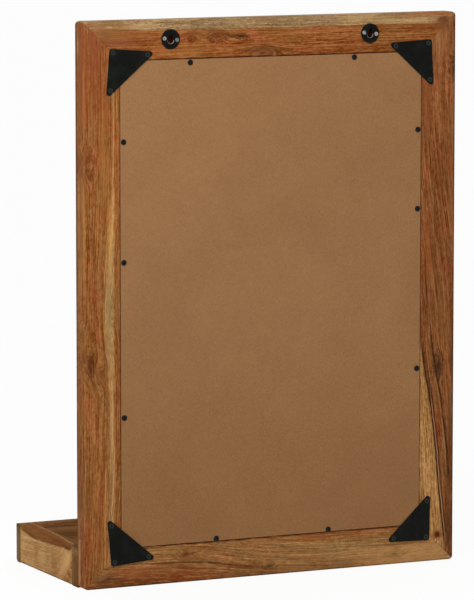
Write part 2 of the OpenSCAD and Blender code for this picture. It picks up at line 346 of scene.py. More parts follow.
def new_group(name: str, inputs: tuple[str, ...], outputs: tuple[str, ...]) -> tuple[
        bpy.types.NodeTree, Wiring, dict[str, bpy.types.NodeSocket], bpy.types.Node]:
    """Starts a shader node group with named sockets.

    Args:
        name: The group's name.
        inputs: The names of its inputs.
        outputs: The names of its outputs.

    Returns:
        The group, its wiring, what comes in by name, and the node to wire the results to.
    """
    group = bpy.data.node_groups.new(name, "ShaderNodeTree")
    for way, sockets in (("INPUT", inputs), ("OUTPUT", outputs)):
        for socket in sockets:
            group.interface.new_socket(socket, in_out=way, socket_type=Kind.of(socket).value)
    wiring = Wiring(group)
    entry = group.nodes.new("NodeGroupInput")
    leave = group.nodes.new("NodeGroupOutput")
    return group, wiring, {s: entry.outputs[s] for s in inputs}, leave


def bell(wiring: Wiring, board: object, centre: object, reach: object) -> bpy.types.NodeSocket:
    """Returns a soft spot that is 1 at its centre and fades to nothing.

    Args:
        wiring: The tree's wiring.
        board: Where on the board the point is.
        centre: The spot's centre.
        reach: How far it reaches each way.

    Returns:
        The spot's strength at the point.
    """
    away = wiring.vector("DIVIDE", wiring.vector("SUBTRACT", board, centre), reach)
    return wiring.math("EXPONENT", wiring.times(wiring.vector("DOT_PRODUCT", away, away), -1.0))


VEIN_TAPER = 0.03               # metres over which a vein comes and goes
VEIN_DRIFT = 0.002              # metres that a vein strays from its line, both ways together
EYE_TURNS = 2.2                 # dark lines between the middle of an eye and its outline
SEED_STEP = 3.17                # how far the grain moves along for each whole number of seed
SWIRL_DRIFT = (0.012, -0.004)   # metres that a knot's outline strays along and across
CLOUD_RED = (1.06, 0.86, 0.98)  # what heartwood is multiplied by where it is reddest,
CLOUD_TAN = (1.02, 1.2, 1.34)   # and where it is most tan
PORE_SHADE = (0.5, 0.4, 0.32)   # what the wood is multiplied by in an open pore
RIM_INNER_FADE = 0.0002         # metres over which a bare rim comes at its inner edge
RIM_OUTER_FADE = 0.0003         # and goes at its outer one
# colour of the paler patches on a black coat: partly dusty, partly a painted sheen
DUST_AND_SHEEN_GREY = (0.011, 0.013, 0.012)


class Effects:
    """The effects that several finishes share, each a node group that is built once."""

    def __init__(self) -> None:
        """Builds every group."""
        self.swirl = self._swirl()
        self.stain = self._stain()
        self.vein = self._vein()
        self.eye = self._eye()
        self.timber = self._timber()
        self.arris = self._arris()
        self.mitre = self._mitre()
        self.rim = self._rim()
        self.coat = self._coat()
        self.nook = self._nook()

    @staticmethod
    def _swirl() -> bpy.types.NodeTree:
        """Returns the group that bends the grain round a knot and darkens its core."""
        group, w, given, leave = new_group(
            "swirl", ("Field", "Board", "Centre", "Reach", "Rise"), ("Field", "Core"))
        ragged = w.noise(w.vector("MULTIPLY", given["Board"], (60.0, 130.0, 130.0)), detail=2.0)
        jitter = w.minus(ragged, 0.5)
        wobble = w.join(*(w.times(jitter, drift) for drift in SWIRL_DRIFT), 0.0)
        shifted = w.vector("ADD", given["Board"], wobble)
        core = bell(w, shifted, given["Centre"], given["Reach"])
        w.feed(leave.inputs["Field"], w.math("MULTIPLY_ADD", core, given["Rise"], given["Field"]))
        w.feed(leave.inputs["Core"], core)
        return group

    @staticmethod
    def _stain() -> bpy.types.NodeTree:
        """Returns the group that tints a soft, broken patch of a board."""
        group, w, given, leave = new_group(
            "stain", ("Color", "Tint", "Board", "Centre", "Reach", "Strength"), ("Color",))
        spot = bell(w, given["Board"], given["Centre"], given["Reach"])
        stretched = w.vector("MULTIPLY", given["Board"], (70.0, 420.0, 420.0))
        broken = w.fade(w.noise(stretched, detail=3.0, rough=0.6), 0.36, 0.6, 0.45, 1.25)
        share = w.times(spot, broken, given["Strength"], clamp=True)
        w.feed(leave.inputs["Color"], w.blend(share, given["Color"], given["Tint"]))
        return group

    @staticmethod
    def _vein() -> bpy.types.NodeTree:
        """Returns the group that draws a dark or pale line along the grain."""
        group, w, given, leave = new_group(
            "vein", ("Color", "Tint", "Field", "Along", "Line", "Width", "Start", "End", "Strength"),
            ("Color",))
        drift = w.noise(given["Along"], 45.0, 3.0, 0.6, flat=True)
        wobble = w.times(w.minus(drift, 0.5), VEIN_DRIFT)
        off = w.math("DIVIDE", w.minus(w.plus(given["Field"], wobble), given["Line"]), given["Width"])
        line = w.math("EXPONENT", w.times(off, off, -1.0))
        comes = w.fade(given["Along"], given["Start"], w.plus(given["Start"], VEIN_TAPER))
        goes = w.fade(given["Along"], w.minus(given["End"], VEIN_TAPER), given["End"], 1.0, 0.0)
        swell = w.fade(drift, 0.35, 0.62, 0.65, 1.15)
        share = w.math("MINIMUM", w.times(line, comes, goes, swell, given["Strength"]), 1.0)
        w.feed(leave.inputs["Color"], w.blend(share, given["Color"], given["Tint"]))
        return group

    @staticmethod
    def _eye() -> bpy.types.NodeTree:
        """Returns the group that draws an almond of nested dark lines, as round a small knot."""
        group, w, given, leave = new_group(
            "eye", ("Color", "Tint", "Board", "Centre", "Reach", "Strength"), ("Color",))
        away = w.vector("DIVIDE", w.vector("SUBTRACT", given["Board"], given["Centre"]), given["Reach"])
        x, y, _ = w.split(away)
        ragged = w.noise(w.vector("MULTIPLY", given["Board"], (130.0, 300.0, 300.0)), detail=2.0)
        shape = w.plus(w.math("ABSOLUTE", y), w.times(x, x))
        shape = w.math("MULTIPLY_ADD", w.minus(ragged, 0.5), 1.1, shape)
        turns = w.times(w.minus(shape, 1.0), 2 * math.pi * EYE_TURNS)
        line = w.fade(w.math("COSINE", turns), 0.1, 1.0, 0.3, 1.0)
        share = w.times(w.fade(shape, 1.0, 1.35, 1.0, 0.0), line, given["Strength"], clamp=True)
        w.feed(leave.inputs["Color"], w.blend(share, given["Color"], given["Tint"]))
        return group

    @staticmethod
    def _timber() -> bpy.types.NodeTree:
        """Returns the group that grows heartwood and sapwood from a field of growth rings."""
        group, w, given, leave = new_group(
            "timber",
            ("Board", "Field", "Sapwood", "Seed", "Heart Light", "Heart Dark", "Sap Light", "Sap Dark",
             "Fleck", "Flecks", "Figure", "Contrast"),
            ("Color", "Height", "Roughness"))
        along, across, deep = w.split(given["Board"])
        seed = w.times(given["Seed"], SEED_STEP)
        ring = given["Field"]

        def grain(by_length: float, by_ring: float, by_depth: float, shift: float) -> bpy.types.NodeSocket:
            """Returns a point of the grain's own space, stretched along the board.

            Args:
                by_length: The scale along the board.
                by_ring: The scale across the growth rings.
                by_depth: The scale into the board.
                shift: How far it is moved along, so that no two noises agree.

            Returns:
                The point.
            """
            return w.join(
                w.math("MULTIPLY_ADD", along, by_length, w.plus(seed, shift)),
                w.times(ring, by_ring),
                w.times(w.plus(deep, w.times(across, 0.15)), by_depth))

        broad = w.noise(grain(7.0, 150.0, 45.0, 0.0), detail=3.0, rough=0.55, warp=0.4)
        narrow = w.noise(grain(10.0, 420.0, 160.0, 11.0), detail=3.0, rough=0.62, warp=0.3)
        fine = w.noise(grain(26.0, 900.0, 420.0, 17.0), detail=2.0, rough=0.6, warp=0.2)
        lines = w.noise(grain(3.5, 640.0, 260.0, 83.0), detail=2.0, rough=0.6, warp=0.15)
        fibre = w.noise(grain(90.0, 2100.0, 1300.0, 23.0), detail=2.0, rough=0.6)
        cloud = w.noise(grain(20.0, 55.0, 40.0, 37.0), detail=3.0, rough=0.6, warp=0.8)
        mottle = w.noise(grain(150.0, 330.0, 260.0, 41.0), detail=3.0, rough=0.6, warp=0.6)
        pore = w.noise(grain(150.0, 1300.0, 900.0, 53.0), detail=1.0, rough=0.4)
        gate = w.noise(grain(12.0, 120.0, 60.0, 61.0), detail=2.0, rough=0.5)

        # Heartwood: broad and narrow bands, with clouds that move it from red to brown.
        tone = w.fade(w.weigh((broad, 0.9), (narrow, 1.3), (fine, 0.9), (cloud, 0.6)), 1.4, 2.3)
        tone = w.plus(0.5, w.times(w.minus(tone, 0.5), given["Figure"]), clamp=True)
        heart = w.blend(tone, given["Heart Dark"], given["Heart Light"])
        tanner = w.blend(1.0, heart, CLOUD_TAN, "MULTIPLY")
        heart = w.tinted(w.fade(cloud, 0.51, 0.66, 0.0, 0.9), heart, CLOUD_RED)
        heart = w.blend(w.fade(cloud, 0.34, 0.49, 0.9, 0.0), heart, tanner)

        # Sapwood: paler and yellower, with softer bands.
        sap_tone = w.fade(w.weigh((narrow, 0.9), (cloud, 0.8), (fine, 0.7)), 0.9, 1.5)
        sap = w.blend(sap_tone, given["Sap Dark"], given["Sap Light"])
        colour = w.blend(given["Sapwood"], heart, sap)

        # Dark flecks lie in groups, and open pores everywhere.
        speck = w.noise(grain(260.0, 560.0, 500.0, 71.0), detail=3.0, rough=0.65, warp=0.8)
        speck = w.fade(speck, 0.49, 0.6)
        colour = w.blend(w.times(speck, given["Flecks"], clamp=True), colour, given["Fleck"])
        open_pore = w.times(w.fade(pore, 0.58, 0.68), w.fade(gate, 0.42, 0.6, 0.3, 1.0))
        colour = w.tinted(w.times(open_pore, 0.75), colour, PORE_SHADE)
        light = w.fade(mottle, 0.3, 0.7, -0.2, 0.2)
        for part, depth in ((fine, 0.18), (lines, 0.2), (fibre, 0.1)):
            light = w.plus(light, w.fade(part, 0.3, 0.7, -depth, depth))
        light = w.times(light, given["Contrast"])
        factor = w.plus(light, 1.0)
        colour = w.blend(1.0, colour, w.join(factor, factor, factor), "MULTIPLY")

        # The lighter fibres are also greyer.
        grey = w.join(0.0, w.times(light, 0.05), w.times(light, 0.04))
        colour = w.vector("MAXIMUM", w.vector("ADD", colour, grey), (0.0, 0.0, 0.0))

        w.feed(leave.inputs["Color"], colour)
        rise = w.math("MULTIPLY_ADD", fibre, 0.5, w.times(narrow, 0.35))
        w.feed(leave.inputs["Height"], w.minus(rise, open_pore))
        w.feed(leave.inputs["Roughness"], w.plus(w.fade(fibre, 0.3, 0.7, 0.5, 0.64),
                                                 w.times(open_pore, 0.2)))
        return group

    @staticmethod
    def _arris() -> bpy.types.NodeTree:
        """Returns the group that softens sharp edges and finds where they are rubbed."""
        group, w, given, leave = new_group("arris", ("Radius", "Breakup"), ("Normal", "Edge"))
        soft = w.node("Bevel", samples=4)
        w.feed(soft.inputs["Radius"], given["Radius"])
        plain = w.node("NewGeometry").outputs["True Normal"]
        turned = w.minus(1.0, w.vector("DOT_PRODUCT", soft.outputs[0], plain))
        edge = w.fade(turned, 0.01, 0.12)
        w.feed(leave.inputs["Normal"], soft.outputs[0])
        w.feed(leave.inputs["Edge"], w.times(edge, w.fade(given["Breakup"], 0.35, 0.6, 0.35, 1.0)))
        return group

    @staticmethod
    def _mitre() -> bpy.types.NodeTree:
        """Returns the group that finds the glue line where two members meet at 45 degrees."""
        group, w, given, leave = new_group("mitre", ("Board", "Length", "Width"), ("Line",))
        along, across, _ = w.split(given["Board"])
        near = w.math("ABSOLUTE", w.minus(along, across))
        far = w.math("ABSOLUTE", w.minus(w.minus(given["Length"], along), across))
        closest = w.math("MINIMUM", near, far)
        w.feed(leave.inputs["Line"], w.fade(w.math("DIVIDE", closest, given["Width"]), 0.4, 1.0, 1.0, 0.0))
        return group

    @staticmethod
    def _rim() -> bpy.types.NodeTree:
        """Returns the group that finds the lower half of a ring in the plane of the back."""
        group, w, given, leave = new_group(
            "rim", ("Place", "Centre", "Inner", "Outer"), ("Mask",))
        flat = w.vector("MULTIPLY", w.vector("SUBTRACT", given["Place"], given["Centre"]), (1, 0, 1))
        away = w.vector("LENGTH", flat)
        ring = w.times(w.fade(away, w.minus(given["Inner"], RIM_INNER_FADE), given["Inner"]),
                      w.fade(away, given["Outer"], w.plus(given["Outer"], RIM_OUTER_FADE), 1.0, 0.0))
        lower = w.fade(w.split(flat)[2], -0.001, 0.002, 1.0, 0.0)
        w.feed(leave.inputs["Mask"], w.times(ring, lower))
        return group

    @staticmethod
    def _coat() -> bpy.types.NodeTree:
        """Returns the group that gives a black coat its fine pebbles, paler patches that are partly dusty
        and partly a painted sheen, and worn edges.
        """
        group, w, given, leave = new_group(
            "coat", ("Color", "Worn", "Edge", "Dust"), ("Color", "Height", "Roughness"))
        place = w.node("TexCoord").outputs["Object"]
        pebble = w.noise(place, 1400.0, 2.0, 0.5)
        drift = w.noise(place, 55.0, 4.0, 0.6, 0.6)
        rub = w.noise(place, 420.0, 3.0, 0.65)
        # paler patches, partly dusty and partly a painted sheen
        dust_and_sheen = w.times(w.fade(drift, 0.42, 0.7), given["Dust"])
        colour = w.blend(dust_and_sheen, given["Color"], DUST_AND_SHEEN_GREY)
        worn = w.times(given["Edge"], w.fade(rub, 0.5, 0.64))
        w.feed(leave.inputs["Color"], w.blend(worn, colour, given["Worn"]))
        w.feed(leave.inputs["Height"], pebble)
        w.feed(leave.inputs["Roughness"], w.minus(w.fade(drift, 0.35, 0.7, 0.36, 0.5),
                                                 w.times(worn, 0.12)))
        return group

    @staticmethod
    def _nook() -> bpy.types.NodeTree:
        """Returns the group that finds recesses and inner corners, where light hardly comes."""
        group, w, given, leave = new_group("nook", ("Distance",), ("Depth",))
        around = w.node("AmbientOcclusion", samples=8)
        w.feed(around.inputs["Distance"], given["Distance"])
        w.feed(leave.inputs["Depth"], w.fade(around.outputs["AO"], 0.35, 0.85, 1.0, 0.0))
        return group


def dress(node: str, material: bpy.types.Material) -> None:
    """Gives a node of the construction model its finish.

    Args:
        node: The node's name.
        material: The finish.
    """
    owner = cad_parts[node]
    if not owner.data.materials:
        owner.data.materials.append(material)
    for index in range(len(owner.material_slots)):
        owner.material_slots[index].material = material


def new_material(name: str) -> tuple[bpy.types.Material, Wiring, bpy.types.Node]:
    """Starts a material.

    Args:
        name: The material's name.

    Returns:
        The material, its wiring and its Principled shader.
    """
    material = bpy.data.materials.new(name)
    material.use_nodes = True
    wiring = Wiring(material.node_tree)
    shader = material.node_tree.nodes["Principled BSDF"]
    return material, wiring, shader


# ------------------------------------------------------------------ boards


class Way(Enum):
    """How a board lies: the directions in which its length and its width run."""

    TOP = ((-1, 0, 0), (0, 0, -1))
    BOTTOM = ((-1, 0, 0), (0, 0, 1))
    RIGHT = ((0, 0, -1), (-1, 0, 0))
    LEFT = ((0, 0, -1), (1, 0, 0))
    SIDE = ((0, -1, 0), (0, 0, 1))
    FLOOR = ((-1, 0, 0), (0, -1, 0))


@dataclass(frozen=True)
class Tones:
    """The screen colours of one board."""

    heart_light: Shade
    heart_dark: Shade
    sap_light: Shade
    sap_dark: Shade
    fleck: Shade


ORANGE_BROWN = Tones((157, 98, 50), (118, 65, 28), (184, 148, 104), (134, 104, 70),
                     (84, 62, 36))
GOLDEN_RED = Tones((160, 104, 54), (119, 68, 32), (190, 144, 88), (150, 108, 66),
                   (94, 78, 46))
DARK_RED = Tones((152, 96, 54), (104, 59, 30), (194, 144, 88), (158, 112, 64),
                 (70, 42, 22))
TAN = Tones((178, 128, 76), (130, 86, 46), (180, 134, 84), (152, 108, 66),
            (90, 64, 32))
GOLD = Tones((142, 92, 50), (108, 66, 34), (200, 156, 102), (172, 130, 82),
             (120, 86, 50))
SHADE_BROWN = Tones((128, 88, 50), (92, 60, 30), (150, 108, 68), (116, 80, 46),
                    (70, 46, 26))
RUSSET = Tones((160, 112, 68), (128, 86, 50), (168, 122, 78), (140, 100, 62),
               (84, 56, 32))
PALE = Tones((220, 170, 122), (190, 140, 96), (210, 166, 120), (170, 126, 86),
             (110, 80, 54))
FAINT = Tones((172, 118, 76), (138, 90, 54), (176, 126, 84), (146, 100, 64),
              (100, 70, 46))
BEECH = Tones((206, 170, 122), (178, 138, 94), (214, 180, 134), (190, 152, 108),
              (150, 108, 70))

RUST = (128, 62, 32)
UMBER = (78, 48, 26)
BLACK_BROWN = (58, 34, 18)
# painted shade inside the hanger pockets, over the reddish cut wood
PAINTED_POCKET_SHADE = (98, 44, 35)
KNOT = (86, 34, 14)
STRAW = (192, 146, 84)
# painted shade: a dark line along rounded edges that face away from the light
PAINTED_EDGE_SHADE = (66, 40, 20)
# painted shade: a dark line in the gap between the frame and the panel
PAINTED_GAP_SHADE = (84, 36, 14)
WIDE = 10000.0    # reach of a stain without ends, in millimetres
DEEP = 60.0       # reach of a stain or knot that goes through a board


@dataclass(frozen=True)
class Swirl:
    """A place where the grain runs round a knot, through the board. Lengths are in millimetres on it."""

    along: float
    across: float
    length: float
    width: float
    rise: float


@dataclass(frozen=True)
class Stain:
    """A soft patch of another colour. Lengths are in millimetres on the board."""

    at: Point
    reach: Point
    tint: Shade
    strength: float


def spot(along: float, across: float, length: float, width: float, tint: Shade, strength: float) -> Stain:
    """Returns a stain that goes through the whole board.

    Args:
        along: Where its middle is on the board's length.
        across: Where its middle is on the board's width.
        length: How far it reaches along the board.
        width: How far it reaches across.
        tint: Its colour.
        strength: How strongly it covers.

    Returns:
        The stain.
    """
    return Stain((along, across, 0), (length, width, DEEP), tint, strength)


@dataclass(frozen=True)
class Vein:
    """A dark or pale line along the grain. Lengths are in millimetres on the board."""

    line: float
    width: float
    start: float
    end: float
    tint: Shade
    strength: float


ARRIS_RADIUS = 0.7               # rounding that every board's edges seem to have, in millimetres
ARRIS_WEAR = 0.55                # how strongly rubbed edges lighten
ARRIS_LIGHT = (1.22, 1.2, 1.16)  # what their colour is multiplied by
END_SHADE = (0.58, 0.55, 0.55)   # what the colour of end grain is multiplied by
GLUE_LINE = 0.45                 # width of the dark line in a mitre, in millimetres
GLUE_STRENGTH = 0.22             # how strongly it shows
GRAIN_RELIEF = 0.12              # height of the grain's relief, in millimetres
WANDER = 4.0                     # millimetres that the grain strays from its lines, both ways together
SAP_RAGGED = 2.4                 # how ragged a sapwood border is, as a multiple of its softness
SAP_END = 1.5                    # half of the width over which sapwood stops at sap_to, in millimetres
CORE_FLECKS = 0.4                # flecks in the core of a knot

Line = tuple[tuple[float, float], ...]
LEVEL: Line = ((0, 0), (1, 0))


@dataclass(frozen=True)
class TopHighlight:
    """A painted highlight: a pale line along a board's top face, with painted shade on its inner side.
    Lengths are in millimetres.

    The path says how deep in the board the line lies. The side turns into the top face between the
    two heights in face, and the painted shade deepens between the two distances from the line in inside.
    """

    path: Line
    # the pale line is a painted highlight, and shade_tint is the colour of the painted shade
    vein: Vein = Vein(0, 1.25, -30, 205, (168, 130, 80), 0.62)
    face: tuple[float, float] = (47.6, 49)
    inside: tuple[float, float] = (0.2, 1.6)
    shade: float = 0.75
    shade_tint: Shade = (104, 70, 36)


@dataclass(frozen=True)
class Board:
    """One piece of wood and how its grain runs.

    A point of the board has its length along X, its width across Y from the outer edge,
    and its depth along Z. The grain follows the flow line, whose bends fade to the share
    bend[0] + bend[1] * Y, and the field is the distance from it. Sapwood lies above the
    border line where sap_side is 1, and below it where sap_side is -1.
    """

    node: str
    way: Way
    origin: Point
    length: float
    tones: Tones
    seed: float
    flow: Line = LEVEL
    bend: tuple[float, float] = (1.0, 0.0)
    lean: float = 0.35
    border: Line = ()
    sap_side: float = 0.0
    sap_soft: float = 0.8
    sap_to: float = 900.0
    flecks: float = 0.12
    sap_flecks: float = 0.1
    sheen: float = 0.03
    figure: float = 1.0
    contrast: float = 1.0
    ends: float = 1.0
    mitred: bool = False
    swirls: tuple[Swirl, ...] = ()
    # soft patches of tone, with painted shade and painted light on some boards
    stains: tuple[Stain, ...] = ()
    veins: tuple[Vein, ...] = ()
    eyes: tuple[Stain, ...] = ()
    # patches along the edges: tones, and painted shade on some rounded edges, ends and gaps
    edges: tuple[Stain, ...] = ()
    top_highlight: TopHighlight | None = None

    def material(self, effects: Effects) -> bpy.types.Material:
        """Returns the board's finish."""
        return Grain(self, effects).finish()


class Grain:
    """Wires the finish of one board."""

    def __init__(self, board: Board, effects: Effects) -> None:
        """Starts the material and finds where on the board a point lies.

        Args:
            board: The board.
            effects: The shared node groups.
        """
        self.board, self.effects = board, effects
        self.material, self.w, self.shader = new_material("wood_" + board.node)
        along, across = (Vector(axis) for axis in board.way.value)
        turn = Matrix((along, across, along.cross(across)))
        place = self.w.node("Mapping")
        self.w.fill(place, Vector=self.w.node("TexCoord").outputs["Object"], Rotation=turn.to_euler("XYZ"),
                    Location=-(turn @ Vector(board.origin)))
        self.place = place.outputs[0]
        self.along, self.across, self.deep = self.w.split(self.place)

    def finish(self) -> bpy.types.Material:
        """Wires the colour and the relief.

        Returns:
            The material.
        """
        w, board, effects = self.w, self.board, self.effects
        slow = w.join(w.math("MULTIPLY_ADD", self.along, 9.0, board.seed),
                      w.times(self.across, 30.0), w.times(self.deep, 30.0))
        wander = w.noise(slow, detail=3.0, rough=0.5)
        wander = w.times(w.minus(wander, 0.5), WANDER * MM)
        border = w.plus(wander, w.minus(self.across, self._height(board.border or board.flow)))
        field = w.plus(wander, self._rings())
        core: object = 0.0
        for swirl in board.swirls:
            made = w.call(effects.swirl, Field=field, Board=self.place, Rise=swirl.rise * MM,
                          Centre=scaled(swirl.along, swirl.across, 0),
                          Reach=scaled(swirl.length, swirl.width, DEEP))
            field = made.outputs["Field"]
            core = w.math("MAXIMUM", core, made.outputs["Core"])
        timber = self._timber(field, self._sapwood(border), core)
        # patches of tone, with painted shade and painted light on some boards
        colour = self._stained(effects.stain, timber.outputs["Color"], board.stains)
        colour = self._stained(effects.eye, colour, board.eyes)
        for vein in board.veins:
            colour = self._veined(colour, vein, border, vein.strength)
        # painted highlight along the top face, with painted shade on its inner side
        if board.top_highlight:
            colour = self._top_highlighted(colour, board.top_highlight)
        # edge patches, some of them painted shade on rounded edges, ends and gaps
        colour = self._end_grain(self._stained(effects.stain, colour, board.edges))
        arris = w.call(effects.arris, Radius=ARRIS_RADIUS * MM, Breakup=timber.outputs["Height"])
        colour = w.tinted(w.times(arris.outputs["Edge"], ARRIS_WEAR), colour, ARRIS_LIGHT)
        if board.mitred:
            line = w.call(effects.mitre, Board=self.place, Length=board.length * MM, Width=GLUE_LINE * MM)
            colour = w.blend(w.times(line.outputs[0], GLUE_STRENGTH), colour, linear(BLACK_BROWN))
        relief = w.bump(timber.outputs["Height"], GRAIN_RELIEF * MM, 0.35, arris.outputs["Normal"])
        w.fill(self.shader, Base_Color=colour, Roughness=timber.outputs["Roughness"], Normal=relief,
               Specular_IOR_Level=board.sheen)
        return self.material

    def _height(self, line: Line) -> bpy.types.NodeSocket:
        """Returns the height of a line over the board's edge, in metres.

        Args:
            line: The line's points, in millimetres.

        Returns:
            The line's height where the point is on the length.
        """
        length = self.board.length
        span = max(abs(y) for _, y in line) or 1.0
        points = tuple((x / length, 0.5 + 0.5 * y / span) for x, y in line)
        height = self.w.curve(self.w.math("DIVIDE", self.along, length * MM), points)
        return self.w.times(self.w.minus(height, 0.5), 2 * span * MM)

    def _rings(self) -> bpy.types.NodeSocket:
        """Returns the distance from the flow line in metres, which numbers the growth rings."""
        w, board = self.w, self.board
        rest = sum(y for _, y in board.flow) / len(board.flow) * MM
        share = w.math("MULTIPLY_ADD", self.across, board.bend[1] / MM, board.bend[0])
        share = w.math("MINIMUM", share, 1.0)
        bent = w.times(w.minus(self._height(board.flow), rest), share)
        return w.math("MULTIPLY_ADD", self.deep, board.lean, w.minus(w.minus(self.across, rest), bent))

    def _sapwood(self, border: object) -> object:
        """Returns where the board is sapwood: on one side of the border and below one width.

        Args:
            border: The distance from the border line.

        Returns:
            The share of sapwood, from 0 to 1.
        """
        w, board = self.w, self.board
        if not board.sap_side:
            return 0.0
        ragged = w.noise(w.join(w.math("MULTIPLY_ADD", self.along, 60.0, board.seed),
                                w.times(self.across, 500.0), 0.0), detail=3.0, rough=0.6)
        ragged = w.times(w.minus(ragged, 0.5), SAP_RAGGED * board.sap_soft * MM)
        soft = board.sap_soft * MM
        inside = w.fade(w.math("MULTIPLY_ADD", border, board.sap_side, ragged), -soft, soft)
        last = scaled(board.sap_to - SAP_END, board.sap_to + SAP_END)
        under = w.fade(w.plus(self.across, ragged), *last, 1.0, 0.0)
        return w.times(inside, under)

    def _timber(self, field: object, sapwood: object, core: object) -> bpy.types.Node:
        """Returns the node that grows the board's wood.

        Args:
            field: The number of the growth ring.
            sapwood: The share of sapwood.
            core: How near the point is to the core of a knot.

        Returns:
            The node, whose outputs are a colour, a height and a roughness.
        """
        w, board, tones = self.w, self.board, self.board.tones
        flecks = w.math("MULTIPLY_ADD", sapwood, board.sap_flecks, board.flecks)
        flecks = w.math("MAXIMUM", flecks, w.times(core, CORE_FLECKS))
        return w.call(
            self.effects.timber, Board=self.place, Field=field, Sapwood=sapwood, Seed=board.seed,
            Heart_Light=linear(tones.heart_light), Heart_Dark=linear(tones.heart_dark),
            Sap_Light=linear(tones.sap_light), Sap_Dark=linear(tones.sap_dark), Fleck=linear(tones.fleck),
            Flecks=flecks, Figure=board.figure, Contrast=board.contrast)

    def _stained(self, group: bpy.types.NodeTree, colour: object,
                 stains: tuple[Stain, ...]) -> bpy.types.NodeSocket:
        """Returns the colour with soft patches or eyes over it.

        Args:
            group: The node group that draws one of them.
            colour: The colour under them.
            stains: The patches, the lowest first.

        Returns:
            The colour with the patches.
        """
        for stain in stains:
            made = self.w.call(group, Color=colour, Tint=linear(stain.tint), Board=self.place,
                               Centre=scaled(*stain.at), Reach=scaled(*stain.reach),
                               Strength=stain.strength)
            colour = made.outputs["Color"]
        return colour

    def _veined(self, colour: object, vein: Vein, field: object, strength: object) -> bpy.types.NodeSocket:
        """Returns the colour with a line along the grain.

        Args:
            colour: The colour under the line.
            vein: The line.
            field: The distance that the line's own place is counted in.
            strength: How strongly the line covers.

        Returns:
            The colour with the line.
        """
        return self.w.call(
            self.effects.vein, Color=colour, Tint=linear(vein.tint), Field=field, Along=self.along,
            Line=vein.line * MM, Width=vein.width * MM, Start=vein.start * MM, End=vein.end * MM,
            Strength=strength).outputs["Color"]

    def _top_highlighted(self, colour: object, top: TopHighlight) -> bpy.types.NodeSocket:
        """Returns the colour with a painted highlight, a pale line on the top face, and painted shade on
        its inner side.

        Args:
            colour: The colour under the line.
            top: The line.

        Returns:
            The colour with the line and the shade.
        """
        w = self.w
        from_line = w.minus(self.deep, self._height(top.path))
        upper = w.fade(self.across, *scaled(*top.face))
        inner = w.fade(from_line, *scaled(*top.inside))
        # painted shade inside the line, then the pale line as a painted highlight
        colour = w.blend(w.times(upper, inner, top.shade), colour, linear(top.shade_tint))
        return self._veined(colour, top.vein, from_line, w.times(upper, top.vein.strength))

    def _end_grain(self, colour: object) -> bpy.types.NodeSocket:
        """Returns the colour, darker where the wood is cut across its grain.

        Args:
            colour: The colour of the wood's long faces.

        Returns:
            The colour with darker ends.
        """
        w = self.w
        normal = w.node("TexCoord").outputs["Normal"]
        facing = w.math("ABSOLUTE", w.vector("DOT_PRODUCT", normal, self.board.way.value[0]))
        return w.tinted(w.fade(facing, 0.75, 0.95, 0.0, self.board.ends), colour, END_SHADE)


# The frame's half width, height and back, the shelf's two ends, and where the keyholes are: the
# point between them, how far apart they are and how high they lie, all in metres
HALF_W, FRAME_H, BACK_Y = 0.25, 0.685, 0.10925
SHELF_BACK, SHELF_FRONT = 0.08825, -0.11075
HANGERS_X, HANGERS_APART, HANGERS_Z = 0.002683, 0.267, 0.660011
KEYHOLES = tuple((HANGERS_X + side * HANGERS_APART / 2, 0.0, HANGERS_Z) for side in (-1, 1))

